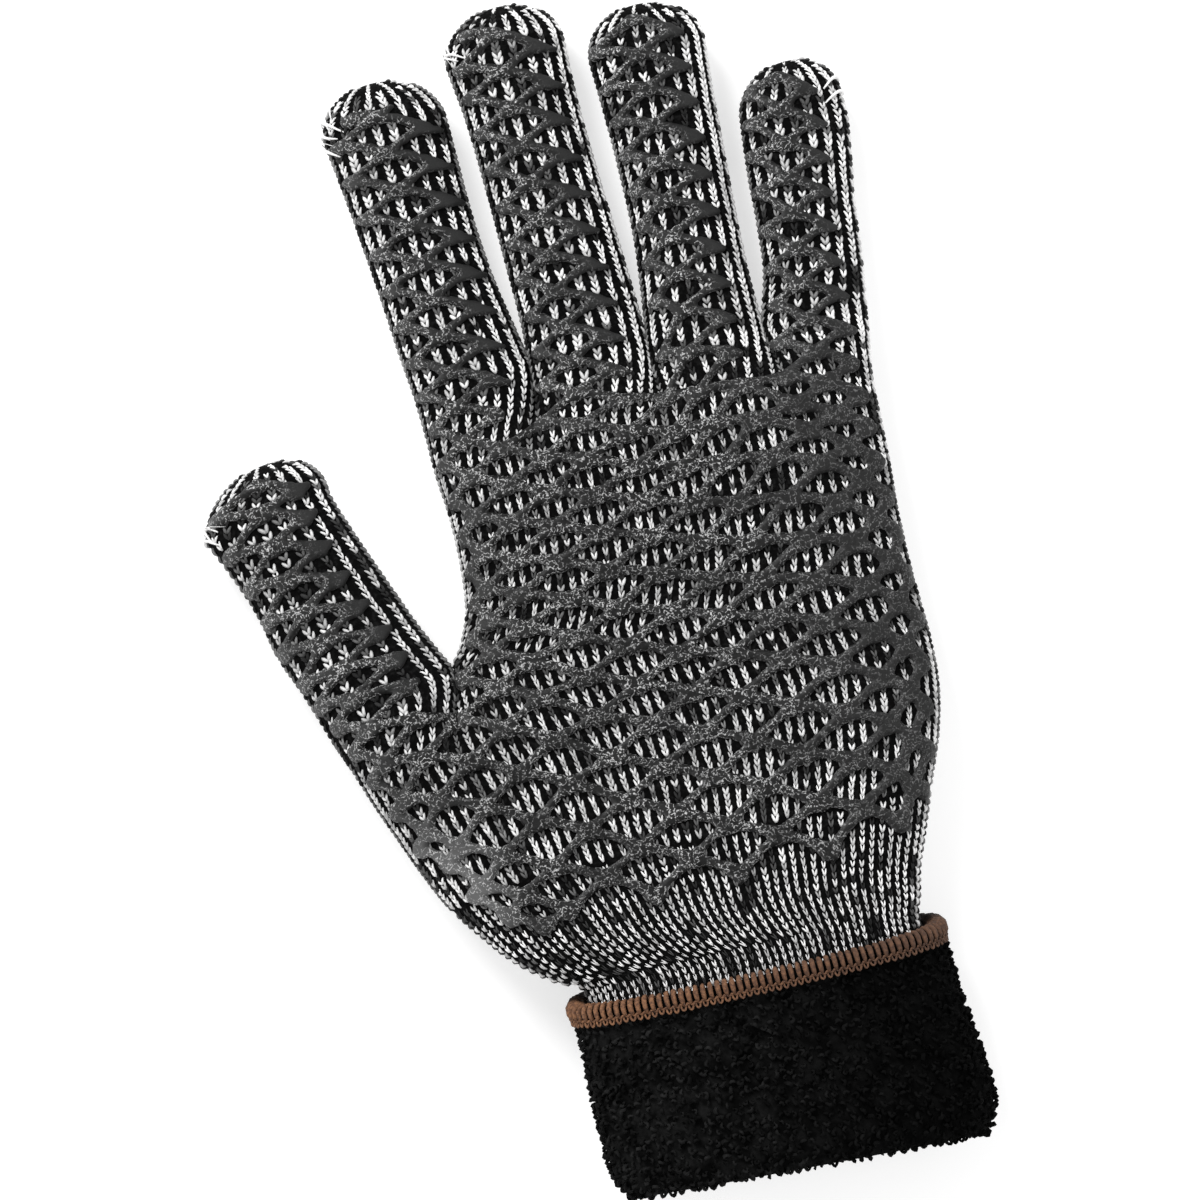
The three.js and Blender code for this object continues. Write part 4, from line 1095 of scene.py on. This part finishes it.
def foot_wave():
    """The chain of thread along the feet of the bights."""
    t = np.linspace(0, 1, 6)
    return tube(np.column_stack([-0.9 + 1.8 * t, -1.3 + 0.25 * np.sin(2 * math.pi * t),
                                 0.42 + 0.2 * np.cos(2 * math.pi * t)]), 0.25, 5)


def foot_loop():
    turn = np.linspace(0, math.pi, 7)
    return tube(np.column_stack([0.55 * np.cos(turn), -1.35 - 1.2 * np.sin(turn),
                                 0.25 + 0.2 * np.sin(turn)]), 0.27, 5)


bight = template("overlock bight", over_edge(), foot_wave(), foot_loop())


def overlock():
    turns = even_turns(BIGHTS, EDGE_AT)
    point, out = ring_frame(turns, 0.0, EDGE_AT)
    along = np.tile([0.0, 1.0, 0.0], (len(turns), 1))
    across = np.cross(along, out)
    rng = np.random.default_rng(4)
    sizes = np.column_stack([rng.normal(1, 0.05, len(turns)), rng.normal(1, 0.03, len(turns)),
                             np.ones(len(turns))])
    cloud = point_cloud("bight points", point, across, along, out, sizes)
    obj = repeated("overlock_threads", cloud, ON_POINTS, bight, thread_material)
    drop(cloud)
    press_flat(obj)
    return obj


adopt(overlock(), "brown_thread", "overlock_edge")


# loose yarn ends at the fingertips
TUFT_YARN = 0.9     # how white the ends are
TUFTS = [  # digit, side (0 thumb's, 1 little finger's), how far from the tip, how many ends
    ["index_finger", 0, 7, 5], ["index_finger", 0, 10.5, 3], ["middle_finger", 0, 7.5, 4],
    ["thumb", 0, 9.5, 4], ["little_finger", 1, 8.5, 3],
]


def tufts():
    """Yarn ends that lie over the edge of a tip, some of them thin and loose."""
    rng = np.random.default_rng(11)
    parts = []
    for name, side, from_tip, count in TUFTS:
        top = DIGITS[name]["rows"][-1][0] + tip_reach(name)
        for k in range(count):
            t = np.linspace(0, 1, 9)
            inward = 0.02 + 0.2 * t * rng.uniform(0.5, 1.2)
            v = top - from_tip + rng.normal(0, 1.4) + np.sin(math.pi * t) * rng.normal(0.8, 0.6)
            v = v - t * rng.uniform(0.5, 3.0)
            point, normal, _ = skin_frame(name, inward if side == 0 else 1 - inward, v, True)
            loose = k % 3 == 2
            lift = (1.4 if loose else 0.85) * np.sin(math.pi * (0.12 + 0.78 * t))
            thick = (0.12 if loose else rng.uniform(0.38, 0.55)) * (1.1 - 0.75 * t)
            parts.append(tube(point + normal * lift[:, None], thick, 5))
    shape = template("loose yarn", *parts)
    mesh = shape.data
    mesh.materials.append(yarn_material)
    give(mesh, "yarn", np.full(len(mesh.vertices), TUFT_YARN))
    cells_on_map(mesh, len(mesh.polygons) // len(parts))
    obj = in_scene("tip_tufts", mesh)
    drop(shape)
    return obj


adopt(tufts(), "marled_knit")
drop(fine_stitch, plain_stitch, loop_shape, bight)

# the room
FLOOR_REACH = 3000
floor_mesh = mesh_of("floor", [(x * FLOOR_REACH, y * FLOOR_REACH, 0) for x, y in (
    (-1, -1), (1, -1), (1, 1), (-1, 1))], [(0, 1, 2, 3)])
floor_mesh.materials.append(pale_floor())
floor = in_scene("floor", floor_mesh)

world = bpy.data.worlds.new("room")
scene.world = world
world.use_nodes = True
background = world.node_tree.nodes["Background"].inputs
background["Color"].default_value = grey(1.0)
background["Strength"].default_value = 0.62
scene.view_settings.view_transform = "Standard"


def lamp(name, place, size, power):
    data = bpy.data.lights.new(name, "AREA")
    data.shape, data.size, data.energy = "SQUARE", size, power
    obj = in_scene(name, data)
    obj.location = place
    # an area light shines along its own -Z, here toward the glove at the origin
    obj.rotation_euler = (-Vector(place)).to_track_quat("-Z", "Y").to_euler()


lamp("key light", (-0.35, 1.0, 0.9), 0.5, 15)
lamp("fill light", (0.9, -0.4, 1.0), 0.9, 5)

# the camera looks straight down, turned as the photo is
SIDE, CENTRE, TILT = 0.264, (-0.01682, 0.01517), math.radians(-13)
LENS, SENSOR = 400, 36
LEVEL = 0.016       # height at which the picture is SIDE wide
camera_data = bpy.data.cameras.new("camera")
camera_data.lens, camera_data.sensor_width = LENS, SENSOR
camera = in_scene("camera", camera_data)
camera.location = (*CENTRE, LEVEL + SIDE * LENS / SENSOR)
camera.rotation_euler = (0, 0, TILT)
scene.camera = camera
